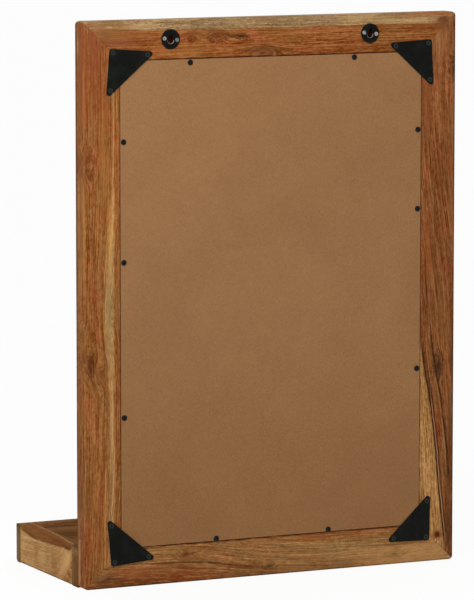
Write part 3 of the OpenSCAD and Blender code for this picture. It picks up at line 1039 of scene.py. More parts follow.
FRAME_BOARDS = (
    Board(
        "frame_top_rail", Way.TOP, (HALF_W, BACK_Y, FRAME_H), 500, ORANGE_BROWN, 2.0, sap_side=-1,
        sap_soft=0.7, lean=0.1, mitred=True, flecks=0.1, sap_flecks=0.5, figure=0.85,
        border=((0, 8.8), (50, 9.2), (82, 12), (200, 12.6), (500, 13)),
        swirls=(
            Swirl(143, 20.5, 10, 3.8, 6.5), Swirl(176, 21.5, 13, 5.6, 10.0),
            Swirl(207, 22.5, 10, 2.8, 5.5), Swirl(238, 41, 22, 6, 11.0)),
        stains=(
            spot(484, 14, 6, 3.4, (88, 54, 28), 0.9), spot(24, 9, 10, 5, (162, 106, 60), 0.7),
            spot(10, 5, 8, 4, (138, 86, 58), 1.1), spot(17, 9.5, 4.5, 3, (170, 124, 90), 0.6),
            spot(31, 19, 21, 9, (134, 88, 52), 0.95), spot(25, 17, 11, 7, (124, 80, 48), 0.85),
            spot(51, 27, 13, 5, (138, 84, 54), 0.8), spot(120, 37, 34, 6, (166, 104, 52), 0.5),
            spot(484, 22, 10, 14, (136, 88, 50), 0.6), spot(250, 5, 120, 8, (128, 104, 72), 0.4),
            spot(66, 9, 30, 4, STRAW, 0.15), spot(78, 7, 20, 4, (190, 154, 110), 0.6),
            spot(430, 9.5, 52, 2.6, (200, 160, 108), 0.7), spot(475, 1, 40, 3.5, (158, 88, 40), 0.9),
            spot(176, 22, 12, 4.4, (96, 52, 24), 0.5), spot(207, 22.5, 7, 1.7, BLACK_BROWN, 0.85),
            spot(139, 18, 9, 3, (112, 56, 34), 0.5), spot(452, 17, 18, 3.5, RUST, 0.6),
            spot(62, 27, 26, 2.2, (96, 46, 24), 0.6), spot(238, 41, 19, 4.5, (96, 58, 30), 0.55),
            # the Stain at the end of this line and the one on the next line are painted shade inside the
            # hanger pockets
            spot(60, 18, 30, 5, (138, 80, 42), 0.65), Stain((114, 24, 9), (9, 10, 5.5), PAINTED_POCKET_SHADE, 1.3),
            Stain((381, 24, 9), (9, 10, 5.5), PAINTED_POCKET_SHADE, 1.3)),
        eyes=(
            spot(143, 20.5, 15, 6, (98, 50, 24), 0.6), spot(176.5, 22, 19, 7.5, (86, 46, 22), 0.7),
            spot(207, 22.5, 13, 3.6, BLACK_BROWN, 0.85), spot(237, 41, 25, 6.5, (86, 50, 26), 0.65)),
        edges=(
            spot(38, 4, 26, 5.5, (136, 98, 58), 0.8), spot(235, 4, 36, 4.5, (136, 102, 68), 0.75),
            spot(300, 3, 32, 3.5, (140, 108, 72), 0.7), spot(371, 4, 32, 5, (186, 152, 104), 0.7),
            spot(438, 4, 28, 3.5, (168, 122, 74), 0.6), spot(485, 9, 11, 4.5, (112, 66, 36), 1.5),
            # this spot is painted shade in the gap at the panel's edge
            spot(250, 47.2, WIDE, 1.2, PAINTED_GAP_SHADE, 1.0))),
    Board(
        "frame_right_stile", Way.RIGHT, (HALF_W, BACK_Y, FRAME_H), 685, GOLDEN_RED, 5.0,
        bend=(0.35, 0.016), sap_side=1, sap_to=39.6, sap_soft=2.4, lean=-0.1, mitred=True, figure=0.85,
        flow=(
            (0, 36), (90, 36.5), (200, 35), (250, 31), (300, 27.5), (345, 25.5), (390, 28), (420, 32),
            (470, 33.5), (540, 31.5), (600, 27), (685, 20)),
        border=(
            (0, 39.5), (90, 39.3), (180, 38.4), (240, 35), (300, 30), (345, 28), (390, 30), (420, 32.5),
            (470, 33.5), (540, 32), (600, 31), (685, 30)),
        swirls=(
            Swirl(171, 5, 20, 6, 11.0), Swirl(397, 3, 26, 8, 14.0), Swirl(425, 17, 16, 8, 7.0),
            Swirl(354, 35, 22, 4, 6.0)),
        stains=(
            spot(500, 36.6, 75, 2.8, (192, 142, 90), 0.7), spot(120, 25, 80, 16, (128, 66, 34), 0.35),
            # the first spot here is painted shade in the gap at the panel's edge
            spot(340, 47.4, WIDE, 0.8, PAINTED_GAP_SHADE, 0.6), spot(28, 13, 28, 11, (134, 78, 51), 0.85),
            spot(352, 33.5, 55, 5, (148, 120, 76), 0.8), spot(262, 35, 34, 3, (206, 154, 86), 0.7),
            spot(60, 14, 60, 13, (132, 66, 33), 0.6), spot(175, 28, 60, 8, (168, 112, 58), 0.5),
            spot(164, 5.5, 9, 3.5, (98, 46, 20), 0.65), spot(183, 7, 6, 5, (110, 56, 26), 0.5),
            spot(385, 5, 13, 7, (172, 116, 58), 0.55), spot(366, 7, 6, 2, RUST, 0.7),
            spot(414, 8, 12, 2.8, (84, 42, 22), 0.8), spot(425, 21, 12, 7, (130, 86, 50), 0.5),
            spot(315, 25, 14, 2.5, (112, 68, 34), 0.5), spot(300, 44, 290, 3.0, (148, 84, 38), 0.4),
            spot(610, 20, 60, 10, (150, 88, 44), 0.4)),
        veins=(
            Vein(0.6, 0.5, 60, 210, (206, 150, 84), 0.6), Vein(-2.6, 0.6, 240, 335, STRAW, 0.6),
            Vein(-4.0, 0.7, 515, 690, STRAW, 0.75), Vein(-9, 0.6, 60, 260, RUST, 0.35),
            Vein(0.5, 0.7, 500, 610, (104, 64, 30), 0.7), Vein(3.2, 0.6, 520, 620, UMBER, 0.3)),
        eyes=(
            spot(171, 7, 24, 8, (96, 48, 22), 0.45), spot(392, 6, 34, 8, (104, 60, 28), 0.4),
            spot(415, 9, 15, 5, (78, 38, 20), 0.6)),
        edges=(
            Stain((60, -1, -11), (85, 3.4, 10), (146, 84, 46), 0.95),
            Stain((270, -1, -11), (90, 4, 9), (162, 110, 60), 0.7),
            Stain((460, -1, -11), (60, 4, 9), (148, 92, 50), 0.5),
            Stain((245, 0.6, -0.6), (60, 1.6, 1.8), (174, 116, 66), 0.7),
            Stain((100, 1.5, -1), (45, 3, 3), (158, 92, 54), 0.6),
            spot(40, 3.2, 50, 1.6, (136, 74, 38), 0.6),
            Stain((580, 2, -2), (42, 4, DEEP), (118, 70, 36), 0.6),
            # painted shade: dark bands along the rounded front edge of the outer side, which faces away
            # from the light
            Stain((340, 0.2, -22.8), (WIDE, 2.2, 3.2), (76, 50, 26), 0.95),
            Stain((40, 0.2, -22.6), (90, 2.2, 3.4), PAINTED_EDGE_SHADE, 0.5),
            Stain((650, 0.2, -18.6), (60, 2.6, 3.2), (158, 108, 66), 0.85))),
    Board(
        "frame_left_stile", Way.LEFT, (-HALF_W, BACK_Y, FRAME_H), 685, DARK_RED, 9.0, bend=(0.75, 0.008),
        sap_side=1, sap_soft=0.5, lean=0.1, mitred=True, figure=0.85,
        flow=(
            (0, 62), (120, 60), (190, 55), (250, 47), (310, 38), (370, 31), (430, 25), (490, 19),
            (545, 14), (600, 10), (650, 6), (685, 4)),
        border=(
            (0, 57), (150, 57), (300, 55), (360, 52), (400, 49.5), (445, 42), (470, 36.5), (500, 32),
            (545, 26.5), (600, 21), (650, 15), (685, 12)),
        swirls=(Swirl(437, 22, 14, 6, 9.0), Swirl(70, 2, 16, 5, 9.0), Swirl(655, 6, 18, 6, 7.0)),
        stains=(
            spot(30, 22, 26, 13, (154, 104, 64), 0.6), spot(17, 12, 5, 4, (98, 60, 32), 0.7),
            # the second spot here is painted shade in the gap at the panel's edge
            spot(120, 5, 60, 3, (160, 112, 62), 0.4), spot(340, 47.4, WIDE, 0.7, PAINTED_GAP_SHADE, 0.5),
            spot(110, 40, 50, 7, (136, 70, 36), 0.5), spot(300, 38, 60, 8, (144, 74, 38), 0.55),
            spot(370, 22, 60, 9, (132, 84, 40), 0.4), spot(200, 20, 90, 12, (112, 62, 30), 0.4),
            spot(560, 4, 90, 6, (92, 55, 25), 0.6), spot(440, 22, 10, 4.5, BLACK_BROWN, 0.8),
            Stain((69, 2, 0), (11, 3.6, 9), BLACK_BROWN, 1.1), spot(430, 4, 13, 3, UMBER, 0.6),
            spot(648, 7, 30, 6, (86, 52, 30), 0.8), spot(652, 22, 4.2, 4.2, KNOT, 1.6)),
        veins=(
            Vein(-1.5, 1.2, 400, 668, BLACK_BROWN, 1.2), Vein(-4.8, 1.0, 425, 655, BLACK_BROWN, 0.9),
            Vein(-3.1, 0.55, 470, 660, (180, 146, 108), 0.8), Vein(-16.8, 1.4, 380, 600, BLACK_BROWN, 1.0),
            Vein(-14.4, 0.7, 440, 580, STRAW, 0.35), Vein(-13.5, 1.1, 290, 400, BLACK_BROWN, 0.8),
            Vein(-28, 1.0, 200, 330, UMBER, 0.55), Vein(-23, 1.0, 330, 430, UMBER, 0.6),
            Vein(-10, 0.7, 420, 560, UMBER, 0.4)),
        eyes=(
            spot(70, 2, 15, 6, BLACK_BROWN, 0.6), spot(438, 22, 20, 7, BLACK_BROWN, 0.7),
            spot(432, 3, 15, 4, UMBER, 0.6), spot(640, 8, 30, 6, UMBER, 0.5)),
        edges=(
            spot(200, 5, 100, 5, (144, 86, 48), 0.5), spot(385, 5, 48, 5, (106, 66, 32), 0.55),
            spot(510, 5, 36, 3, (112, 70, 36), 0.5),
            # painted shade: a dark band along the rounded outer edge, which faces away from the light
            Stain((340, 0.9, 0.8), (WIDE, 1.4, 1.8), (52, 34, 16), 1.15))),
    Board(
        "frame_bottom_rail", Way.BOTTOM, (HALF_W, BACK_Y, 0.0), 500, TAN, 14.0, lean=0.1, mitred=True,
        flecks=0.25, figure=0.9,
        flow=((0, 30), (90, 27), (150, 24), (200, 16.5), (245, 10), (300, 5), (400, 2), (500, 0)),
        swirls=(Swirl(246, 11, 8, 3.2, 6.0), Swirl(418, 13, 12, 4, 6.0), Swirl(133, 34, 12, 4, 5.0)),
        stains=(
            spot(475, 20, 17, 12, (178, 126, 90), 0.5), spot(140, 36, 70, 10, (120, 76, 38), 0.35),
            # the first spot here is painted shade in the gap at the panel's edge
            spot(250, 47.2, WIDE, 1.2, PAINTED_GAP_SHADE, 1.0), spot(110, 8, 80, 12, (130, 64, 29), 0.9),
            spot(60, 19, 26, 4.5, (150, 76, 36), 0.7), spot(32, 11, 22, 7, (88, 48, 26), 0.75),
            spot(150, 3, 60, 2.6, (142, 68, 30), 0.6), spot(133, 34, 6, 2.6, (104, 46, 26), 0.8),
            spot(130, 19, 9, 3, (98, 50, 28), 0.6), spot(182, 7.5, 9, 1.4, (96, 42, 22), 0.8),
            spot(325, 42, 90, 4, (142, 78, 38), 0.65), spot(300, 22, 60, 12, (146, 112, 68), 0.4),
            spot(435, 14, 70, 14, (184, 138, 86), 0.85), spot(246, 10.5, 3.4, 2.4, UMBER, 0.9),
            spot(418, 12.5, 4, 1.6, UMBER, 0.6), spot(340, 6, 24, 5, (132, 86, 54), 0.5),
            spot(415, 25, 30, 1.6, (104, 70, 34), 0.7)),
        veins=(Vein(-0.5, 1.8, 80, 255, (92, 52, 28), 0.9), Vein(8, 0.6, 300, 440, UMBER, 0.3)),
        eyes=(
            spot(132, 33, 17, 6, (100, 54, 28), 0.5), spot(246, 10.5, 11, 4, UMBER, 0.6),
            spot(418, 13, 15, 5, (112, 78, 40), 0.5)),
        edges=(
            spot(60, 4.5, 70, 5, (104, 54, 26), 0.75), spot(228, 4, 36, 6, (104, 70, 38), 0.7),
            spot(283, 5, 22, 5, (150, 106, 64), 0.6), spot(440, 2, 42, 5, (180, 134, 86), 0.7),
            # painted shade: a dark band along the rounded bottom edge, which faces away from the light
            Stain((130, 0.4, -1.0), (290, 1.6, 2.4), (58, 34, 18), 1.2))),
)

SHELF_BOARDS = (
    Board(
        "shelf_right_board", Way.SIDE, (HALF_W, SHELF_BACK, 0.0), 199, GOLD, 21.0, sap_side=-1,
        sap_soft=1.7, lean=0.3, figure=0.7, contrast=0.42, flecks=0.0, sap_flecks=0.0, sheen=0.003,
        flow=((0, 70), (20, 52), (50, 20), (80, 8), (120, 4), (199, 2)),
        border=(
            (0, 47), (19, 46), (23, 42), (35, 40.7), (46, 41.2), (60, 40.2), (80, 39.2), (100, 38.8),
            (118, 38.3), (135, 37.9), (153, 38.9), (169, 41.1), (180, 42.8), (199, 46)),
        # painted highlight along the side board's top face, with painted shade on its inner side
        top_highlight=TopHighlight(((0, 0.6), (34, 4.1), (64, 7.5), (94, 10.1), (124, 11.8), (160, 13.4), (199, 14))),
        stains=(
            spot(74, 18, 17, 18, (144, 101, 60), 0.75), spot(97.6, 22, 6, 16, (146, 110, 62), 0.6),
            spot(132.5, 21, 7, 15, (142, 110, 62), 0.6), spot(114, 14, 9, 9, (188, 152, 104), 0.6),
            spot(29, 38, 6, 4, (190, 150, 98), 0.6), spot(33, 32.5, 8, 4.6, (204, 164, 104), 0.9),
            spot(37, 27, 8, 4.6, (204, 162, 104), 1.0), spot(42, 21, 7, 4.6, (204, 158, 104), 1.0),
            spot(48, 15, 7, 4.6, (202, 154, 102), 1.0), spot(54, 9.5, 6, 4.6, (198, 148, 102), 0.9),
            spot(20.5, 22, 4.5, 8, (124, 84, 44), 0.9), spot(27, 12, 8, 6, (136, 86, 42), 0.95),
            spot(36, 4, 11, 5, (138, 86, 46), 0.95), spot(33, 43.5, 12, 2.6, (92, 54, 30), 0.7),
            spot(68, 47, 18, 3, (106, 66, 33), 0.8), spot(142, 45, 24, 3.5, (138, 92, 50), 0.7),
            Stain((94, 49.5, 6), (26, 2, 5), (112, 62, 30), 0.6),
            spot(190, 44, 10, 8, (150, 112, 66), 0.7), spot(181, 36, 3, 10, (162, 124, 76), 0.6),
            spot(166, 34.8, 20, 1.1, (216, 178, 130), 0.8), spot(138, 36.2, 14, 1.0, (216, 178, 130), 0.7),
            spot(110, 36.3, 13, 1.0, (210, 172, 122), 0.6)),
        veins=(Vein(1.2, 1.2, 10, 190, (88, 52, 28), 0.35),),
        edges=(
            spot(19.2, 25, 0.9, 60, (96, 66, 38), 0.8), spot(183.8, 25, 0.8, 60, (104, 76, 42), 0.6),
            # painted shade along the bottom edge
            spot(100, 0.6, WIDE, 1.2, PAINTED_EDGE_SHADE, 0.8))),
    Board(
        "shelf_left_board", Way.SIDE, (-HALF_W, SHELF_BACK, 0.0), 199, ORANGE_BROWN, 25.0, lean=-0.3,
        sap_side=-1, sap_soft=1.5, sheen=0.003,
        flow=((0, 12), (100, 18), (199, 14))),
    Board(
        "shelf_back_board", Way.BOTTOM, (HALF_W, SHELF_BACK, 0.0), 500, SHADE_BROWN, 31.0, lean=0.4,
        sheen=0.003, ends=0.0,
        flow=((0, 20), (250, 26), (500, 16)),
        stains=(
            Stain((0, 25, -16.5), (4, 60, 4), (134, 100, 64), 0.95),
            Stain((0, 25, -5), (4, 60, 7.5), (116, 80, 46), 0.95), spot(0, 43, 4, 4, (150, 114, 76), 0.6)),
        edges=(
            # painted shade: darker on the top at the end beside the frame, along the end's back edge in the
            # crease at the frame, and along the bottom edge
            Stain((8, 50.5, -9), (22, 2.4, 18), (84, 56, 30), 0.9),
            Stain((0, 25, 0), (4, 60, 1.1), (84, 50, 26), 0.8), spot(0, 0.5, 4, 1.1, PAINTED_EDGE_SHADE, 0.7))),
    Board(
        "shelf_front_board", Way.BOTTOM, (HALF_W, SHELF_FRONT, 0.0), 500, RUSSET, 37.0, lean=0.5,
        sap_side=-1, sap_soft=1.2, sheen=0.003, ends=0.6,
        flow=((0, 14), (120, 22), (260, 12), (380, 26), (500, 18)),
        border=((0, 8), (120, 14), (260, 6), (380, 12), (500, 10)),
        swirls=(Swirl(170, 22, 26, 9, 14.0), Swirl(365, 30, 22, 7, 10.0)),
        stains=(
            spot(0, 25, 3, 60, (138, 110, 72), 0.9), Stain((0, 25, 4.5), (3, 60, 5), (150, 130, 98), 0.6),
            # the last stain here is painted light on the inner face, standing for light that the mirror
            # throws onto it
            spot(0, 46, 3, 8, (100, 82, 56), 0.7), Stain((60, 44, 15), (120, 3, 3), (146, 100, 62), 0.8)),
        veins=(Vein(4, 0.8, 40, 460, UMBER, 0.5),),
        edges=(
            # painted shade: darker bands on the top face and its rounded edges, on the end's top corner and
            # front edge, and along the bottom edge
            Stain((250, 50, 4), (WIDE, 2.2, 8), (72, 62, 46), 1.0),
            Stain((250, 50, 13), (WIDE, 3.2, 5), (98, 66, 38), 0.8),
            Stain((250, 49.8, 0.3), (WIDE, 1.6, 1.8), (50, 38, 24), 0.85),
            Stain((0, 50, 1), (4, 2.5, 4), (52, 42, 28), 0.9),
            Stain((0, 25, 0.3), (3, 60, 1.4), (84, 64, 42), 0.8), spot(0, 0.5, 4, 1.1, PAINTED_EDGE_SHADE, 0.7))),
    Board(
        "shelf_floor", Way.FLOOR, (HALF_W, 0.0675, 0.0), 500, SHADE_BROWN, 43.0, lean=0.3, sap_side=-1,
        sap_soft=2.0, sheen=0.0,
        flow=((0, 110), (60, 90), (150, 96), (300, 70), (500, 84)),
        border=((0, 60), (150, 70), (300, 40), (500, 50)),
        swirls=(Swirl(210, 60, 60, 22, 30.0),),
        stains=(
            # the spots 80 and 112 mm across are painted shade where the floor lies in shade; the spot 152
            # mm across is painted light along the floor's front strip, against the shadow at the front
            # board
            spot(30, 80, 70, 120, (94, 64, 34), 0.75), spot(60, 152, 110, 15, (140, 98, 70), 0.8),
            spot(60, 112, 90, 17, (84, 56, 28), 0.8))),
)

KEY_BOARDS = tuple(
    Board(node, Way.RIGHT, (HALF_W, BACK_Y, FRAME_H), 685, tones, seed,
          edges=(Stain((340, 0, -13), (WIDE, WIDE, 2.0), (122, 74, 42), 1.1),
                 Stain((31, 0, -15.5), (10, WIDE, 1.6), (206, 156, 112), 0.9)))
    for node, tones, seed in (
        ("corner_key_top_right", FAINT, 51.0), ("corner_key_bottom_right", PALE, 53.0),
        ("corner_key_top_left", FAINT, 57.0), ("corner_key_bottom_left", PALE, 59.0)))

DOWEL_BOARDS = tuple(
    Board(node, Way.SIDE, (0.0, 0.0, 0.0), 204, BEECH, seed)
    for node, seed in (("shelf_corner_dowels", 61.0), ("shelf_fixing_dowels", 67.0)))


# ------------------------------------------------------------------ finishes


@dataclass(frozen=True)
class Fibreboard:
    """Thin brown fibreboard, smooth on the side that shows."""

    base: Shade = (147, 106, 68)
    light: Shade = (172, 129, 87)
    dark: Shade = (118, 80, 46)
    fleck: Shade = (96, 66, 40)
    relief: float = 0.1
    # painted shade: the panel darkens towards its foot
    shaded_foot: tuple[float, float] = (0.05, 0.34)    # heights between which the panel's darker foot fades out
    foot_shade: Colour = (0.94, 0.91, 0.85)

    def material(self) -> bpy.types.Material:
        """Returns the finish: fine fibres, faint clouds, painted shade towards the foot and a dull sheen.
        """
        material, w, shader = new_material("fibreboard")
        place = w.node("TexCoord").outputs["Object"]
        fibres = w.noise(place, 900.0, 3.0, 0.65, 1.2)
        tufts = w.noise(place, 300.0, 4.0, 0.6, 2.0)
        clouds = w.noise(place, 14.0, 4.0, 0.55, 0.5)
        strands = w.noise(w.vector("MULTIPLY", place, (1500.0, 1500.0, 350.0)), detail=2.0, rough=0.6)
        tone = w.weigh((fibres, 0.6), (tufts, 0.5), (strands, 0.35), (clouds, 0.22))
        colour = w.blend(w.fade(tone, 0.58, 1.1), linear(self.dark), linear(self.light))
        colour = w.blend(0.5, colour, linear(self.base))
        # painted shade, darker towards the panel's foot
        shaded_foot = w.fade(w.split(place)[2], *self.shaded_foot, 1.0, 0.0)
        colour = w.tinted(shaded_foot, colour, self.foot_shade)
        fleck = w.fade(w.noise(place, 520.0, 2.0, 0.5, 3.0), 0.66, 0.74)
        colour = w.blend(w.times(fleck, 0.35), colour, linear(self.fleck))
        w.fill(shader, Base_Color=colour, Roughness=w.fade(tufts, 0.3, 0.7, 0.52, 0.66),
               Normal=w.bump(fibres, self.relief * MM, 0.3), Specular_IOR_Level=0.12)
        return material


@dataclass(frozen=True)
class BlackCoat:
    """A black coat on steel, for the plates and the dark screws.

    All lengths are in millimetres. The pebble is the height of its fine relief, edge is how far a worn
    edge reaches, recess is how far the painted shade in recesses and inner corners reaches, and the
    rim is the pale ring on the lower half of each keyhole, from its inner to its outer radius.
    """

    name: str
    colour: Colour
    worn: Colour
    # how strongly the paler patches show, which are partly dusty and partly a painted sheen
    dust_and_sheen: float
    metallic: float
    pebble: float
    edge: float = 0.35
    # how far the painted shade in recesses and inner corners reaches
    painted_shade_reach: float = 1.0
    keyholes: tuple[Point, ...] = ()
    rim: tuple[float, float] = (3.6, 4.1)
    # colour of the pale ring on the lower half of each keyhole
    pale_lower_rim: Colour = (0.36, 0.33, 0.31)
    # colour of the painted shade in recesses and inner corners
    recess_painted_shade: Colour = (0.003, 0.003, 0.003)

    def material(self, effects: Effects) -> bpy.types.Material:
        """Builds the finish.

        Args:
            effects: The shared node groups.

        Returns:
            The material.
        """
        material, w, shader = new_material(self.name)
        place = w.node("TexCoord").outputs["Object"]
        rub = w.noise(place, 600.0, 2.0, 0.6)
        arris = w.call(effects.arris, Radius=self.edge * MM, Breakup=rub)
        coat = w.call(effects.coat, Color=self.colour, Worn=self.worn, Edge=arris.outputs["Edge"],
                      Dust=self.dust_and_sheen)
        # painted shade: darker in recesses and inner corners
        nook = w.call(effects.nook, Distance=self.painted_shade_reach * MM)
        colour = w.blend(nook.outputs["Depth"], coat.outputs["Color"], self.recess_painted_shade)
        inner, outer = scaled(*self.rim)
        # a pale ring on the lower half of each keyhole
        for centre in self.keyholes:
            rim = w.call(effects.rim, Place=place, Centre=centre, Inner=inner, Outer=outer)
            pale_lower_rim = w.times(rim.outputs[0], w.fade(rub, 0.35, 0.6, 0.45, 0.95))
            colour = w.blend(pale_lower_rim, colour, self.pale_lower_rim)
        relief = w.bump(coat.outputs["Height"], self.pebble * MM, 0.4, arris.outputs["Normal"])
        w.fill(shader, Base_Color=colour, Roughness=coat.outputs["Roughness"], Normal=relief,
               Metallic=self.metallic, Specular_IOR_Level=0.07)
        return material


@dataclass(frozen=True)
class ZincPlate:
    """Bright zinc on the small screws of the hanger plates."""

    bright: Colour = (0.55, 0.53, 0.48)
    dull: Colour = (0.2, 0.2, 0.18)
    edge_shade: Colour = (0.3, 0.3, 0.28)
    edge: float = 0.5
    relief: float = 0.03

    def material(self, effects: Effects) -> bpy.types.Material:
        """Builds the finish.

        Args:
            effects: The shared node groups.

        Returns:
            The material.
        """
        material, w, shader = new_material("zinc_plate")
        place = w.node("TexCoord").outputs["Object"]
        brush = w.noise(w.vector("MULTIPLY", place, (700.0, 700.0, 2600.0)), detail=2.0, rough=0.6)
        cloud = w.noise(place, 420.0, 2.0, 0.5)
        arris = w.call(effects.arris, Radius=self.edge * MM, Breakup=cloud)
        colour = w.blend(w.fade(cloud, 0.4, 0.6), self.dull, self.bright)
        colour = w.tinted(w.times(arris.outputs["Edge"], 0.8), colour, self.edge_shade)
        w.fill(shader, Base_Color=colour, Roughness=w.fade(brush, 0.3, 0.7, 0.22, 0.4), Metallic=1.0,
               Normal=w.bump(brush, self.relief * MM, 0.3, arris.outputs["Normal"]))
        return material


@dataclass(frozen=True)
class SilveredGlass:
    """Mirror glass, a little green and faintly wiped."""

    silver: Colour = (0.86, 0.9, 0.88)
    wiped: Colour = (0.82, 0.86, 0.85)

    def material(self) -> bpy.types.Material:
        """Returns the finish: a clear reflection with faint wipe marks."""
        material, w, shader = new_material("silvered_glass")
        place = w.node("TexCoord").outputs["Object"]
        wipes = w.noise(w.vector("MULTIPLY", place, (9.0, 9.0, 3.0)), detail=4.0, rough=0.6, warp=1.5)
        w.fill(shader, Base_Color=w.blend(w.fade(wipes, 0.45, 0.7), self.silver, self.wiped),
               Roughness=w.fade(wipes, 0.4, 0.75, 0.012, 0.035), Metallic=1.0)
        return material


# ------------------------------------------------------------------ sub-assemblies

COAT_BLACK = (0.0042, 0.0048, 0.0036)
COAT_WORN = (0.05, 0.05, 0.05)


@dataclass
class Assembly:
    """Pieces of the construction model that are dressed together."""

    effects: Effects

    def finishes(self) -> dict[str, bpy.types.Material]:
        """Returns the finish of each piece by its name."""
        raise NotImplementedError

    def build(self) -> list[str]:
        """Dresses each piece.

        Returns:
            The pieces' names.
        """
        finishes = self.finishes()
        for piece, material in finishes.items():
            dress(piece, material)
        return list(finishes)


@dataclass
class WoodenFrame(Assembly):
    """The four mitred members and the keys across their corners."""

    boards: tuple[Board, ...] = FRAME_BOARDS + KEY_BOARDS

    def finishes(self) -> dict[str, bpy.types.Material]:
        """Returns the finish of each member and key."""
        return {board.node: board.material(self.effects) for board in self.boards}


@dataclass
class GlassAndBack(Assembly):
    """The mirror glass, the fibreboard behind it and the black screws."""

    panel_screw_coat: BlackCoat = BlackCoat(
        "screw_coat", (0.02, 0.02, 0.021), (0.1, 0.1, 0.1), 0.2, 0.7, 0.02, 0.5, 3.0)
    # the plate screws' coat is paler than the plates': partly the screws' own grey, partly a painted
    # highlight for the glint round each head
    plate_screw_coat: BlackCoat = BlackCoat(
        "plate_screw_coat", (0.03, 0.036, 0.032), (0.06, 0.07, 0.06), 0.1, 0.3, 0.02, 0.3, 3.0)

    def finishes(self) -> dict[str, bpy.types.Material]:
        """Returns the finish of the glass, the panel and both kinds of screw."""
        return {"mirror_glass": SilveredGlass().material(),
                "back_panel": Fibreboard().material(),
                "panel_screws": self.panel_screw_coat.material(self.effects),
                "corner_plate_screws": self.plate_screw_coat.material(self.effects)}


@dataclass
class SteelPlates(Assembly):
    """The triangular corner plates and the two keyhole hangers with their silver screws."""

    coat: BlackCoat = BlackCoat("plate_coat", COAT_BLACK, COAT_WORN, 0.5, 0.0, 0.05)
    hanger_coat: BlackCoat = BlackCoat(
        "hanger_coat", COAT_BLACK, COAT_WORN, 0.6, 0.0, 0.05, keyholes=KEYHOLES)

    def finishes(self) -> dict[str, bpy.types.Material]:
        """Returns the finish of the plates and of their silver screws.

        Returns:
            The finishes by the pieces' names.
        """
        plate, hanger = self.coat.material(self.effects), self.hanger_coat.material(self.effects)
        found = {"hanger_screws": ZincPlate().material(self.effects)}
        for side in ("left", "right"):
            found |= {"corner_plate_top_" + side: plate, "corner_plate_bottom_" + side: plate,
                      "hanger_plate_" + side: hanger}
        return found


@dataclass
class TrayShelf(Assembly):
    """The shelf's boards, its floor and the dowels that hold it."""

    boards: tuple[Board, ...] = SHELF_BOARDS + DOWEL_BOARDS

    def finishes(self) -> dict[str, bpy.types.Material]:
        """Returns the finish of each board and of the dowels."""
        return {board.node: board.material(self.effects) for board in self.boards}


# ------------------------------------------------------------------ studio


@dataclass(frozen=True)
class Lamp:
    """A soft lamp.

    A sun lies towards a direction and its spread is an angle in degrees. A soft box stands at a
    place, points at a target and its spread is its width and height in metres.
    """

    name: str
    place: Point
    energy: float
    spread: float
    target: Point | None = None


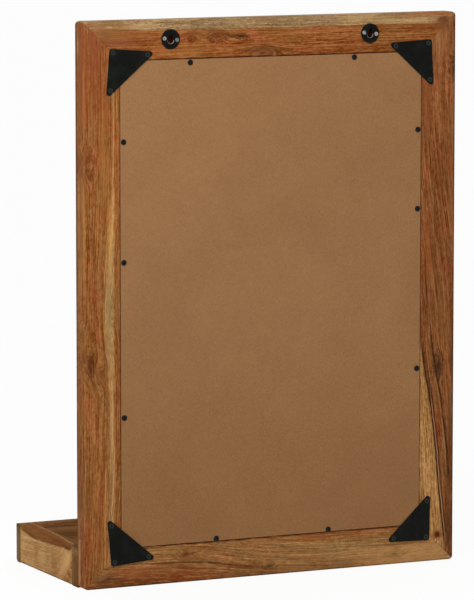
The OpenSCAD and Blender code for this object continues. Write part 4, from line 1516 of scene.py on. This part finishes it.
@dataclass
class Studio:
    """A plain pale floor, soft light and the camera."""

    floor_size: float = 90.0
    floor_drop: float = 0.0002
    floor_colour: Colour = (0.9, 0.9, 0.89)
    floor_glow: float = 0.93
    white: Colour = (1, 1, 1)
    sky_light: float = 0.46
    eye: Point = (2.3092, 4.9502, 1.0053)
    target: Point = (-0.0018, 0.0025, 0.3277)
    lens: float = 266.145
    clip: tuple[float, float] = (0.1, 400.0)
    suns: tuple[Lamp, ...] = (Lamp("sun_key", (0.75, 0.55, 0.62), 0.45, 28.0),
                              Lamp("sun_front", (-0.5, -0.8, 0.75), 0.9, 50.0))
    soft_box: Lamp = Lamp("soft_box", (0.6, 0.93, 1.28), 9.0, 0.7, (0.05, 0.11, 0.5))

    def build(self) -> None:
        """Makes the floor, the light and the camera."""
        self._floor()
        self._world()
        for sun in self.suns:
            self._sun(sun)
        self._panel_lamp(self.soft_box)
        self._camera()

    def _floor(self) -> None:
        """Makes the floor, a plain sheet under the object."""
        mesh = bmesh.new()
        bmesh.ops.create_grid(mesh, x_segments=1, y_segments=1, size=self.floor_size / 2,
                              matrix=Matrix.Translation((0, 0, -self.floor_drop)))
        data = bpy.data.meshes.new("floor")
        mesh.to_mesh(data)
        mesh.free()
        floor = bpy.data.objects.new("floor", data)
        bpy.context.scene.collection.objects.link(floor)
        material, w, shader = new_material("pale_floor")
        w.fill(shader, Base_Color=self.floor_colour, Roughness=0.9, Specular_IOR_Level=0.1)
        rays = w.node("LightPath")
        seen = w.math("MAXIMUM", rays.outputs["Is Camera Ray"],
                      w.math("MAXIMUM", rays.outputs["Is Glossy Ray"],
                             rays.outputs["Is Transmission Ray"]))
        glow = w.fill(w.node("Emission"), Color=self.white)
        output = material.node_tree.nodes["Material Output"]
        self._mix(w, w.times(seen, self.floor_glow), shader, glow, output)
        data.materials.append(material)

    @staticmethod
    def _mix(w: Wiring, share: object, first: bpy.types.Node, second: bpy.types.Node,
             output: bpy.types.Node) -> None:
        """Wires a mix of two shaders to a tree's output.

        Args:
            w: The tree's wiring.
            share: How much of the second shader there is.
            first: The first shader.
            second: The second shader.
            output: The tree's output node.
        """
        both = w.node("MixShader")
        for socket, value in zip(both.inputs, (share, first.outputs[0], second.outputs[0])):
            w.feed(socket, value)
        w.feed(output.inputs["Surface"], both.outputs[0])

    def _world(self) -> None:
        """Makes the even light of the sky, which looks white to the camera."""
        world = bpy.data.worlds.new("studio")
        world.use_nodes = True
        bpy.context.scene.world = world
        w, nodes = Wiring(world.node_tree), world.node_tree.nodes
        sky = w.fill(nodes["Background"], Color=self.white, Strength=self.sky_light)
        seen = w.fill(w.node("Background"), Color=self.white)
        rays = w.node("LightPath")
        self._mix(w, rays.outputs["Is Camera Ray"], sky, seen, nodes["World Output"])

    @staticmethod
    def _sun(sun: Lamp) -> None:
        """Makes a soft sun.

        Args:
            sun: The lamp.
        """
        lamp = bpy.data.lights.new(sun.name, "SUN")
        lamp.energy = sun.energy
        lamp.angle = math.radians(sun.spread)
        holder = bpy.data.objects.new(sun.name, lamp)
        holder.rotation_euler = Vector(sun.place).to_track_quat("Z", "Y").to_euler()
        bpy.context.scene.collection.objects.link(holder)

    @staticmethod
    def _panel_lamp(box: Lamp) -> None:
        """Makes a soft box behind and over the mirror, which only its light shows.

        Args:
            box: The lamp.
        """
        lamp = bpy.data.lights.new(box.name, "AREA")
        lamp.energy, lamp.size = box.energy, box.spread
        holder = bpy.data.objects.new(box.name, lamp)
        holder.location = box.place
        look = Vector(box.target) - Vector(box.place)
        holder.rotation_euler = look.to_track_quat("-Z", "Y").to_euler()
        holder.visible_camera = False
        bpy.context.scene.collection.objects.link(holder)

    def _camera(self) -> None:
        """Places the camera where the photograph was taken from."""
        data = bpy.data.cameras.new("camera")
        data.lens = self.lens
        data.clip_start, data.clip_end = self.clip
        camera = bpy.data.objects.new("camera", data)
        camera.location = self.eye
        look = Vector(self.target) - Vector(self.eye)
        camera.rotation_euler = look.to_track_quat("-Z", "Y").to_euler()
        bpy.context.scene.collection.objects.link(camera)
        bpy.context.scene.camera = camera


def main() -> None:
    """Builds and reports each sub-assembly in order."""
    logging.basicConfig(level=logging.INFO, format="%(name)s: %(message)s")
    bpy.context.scene.view_settings.view_transform = "Standard"
    Studio().build()
    effects = Effects()
    for assembly in (WoodenFrame(effects), GlassAndBack(effects), SteelPlates(effects), TrayShelf(effects)):
        for piece in assembly.build():
            log.info("%s: %s", type(assembly).__name__, piece)


if __name__ == "__main__":
    main()
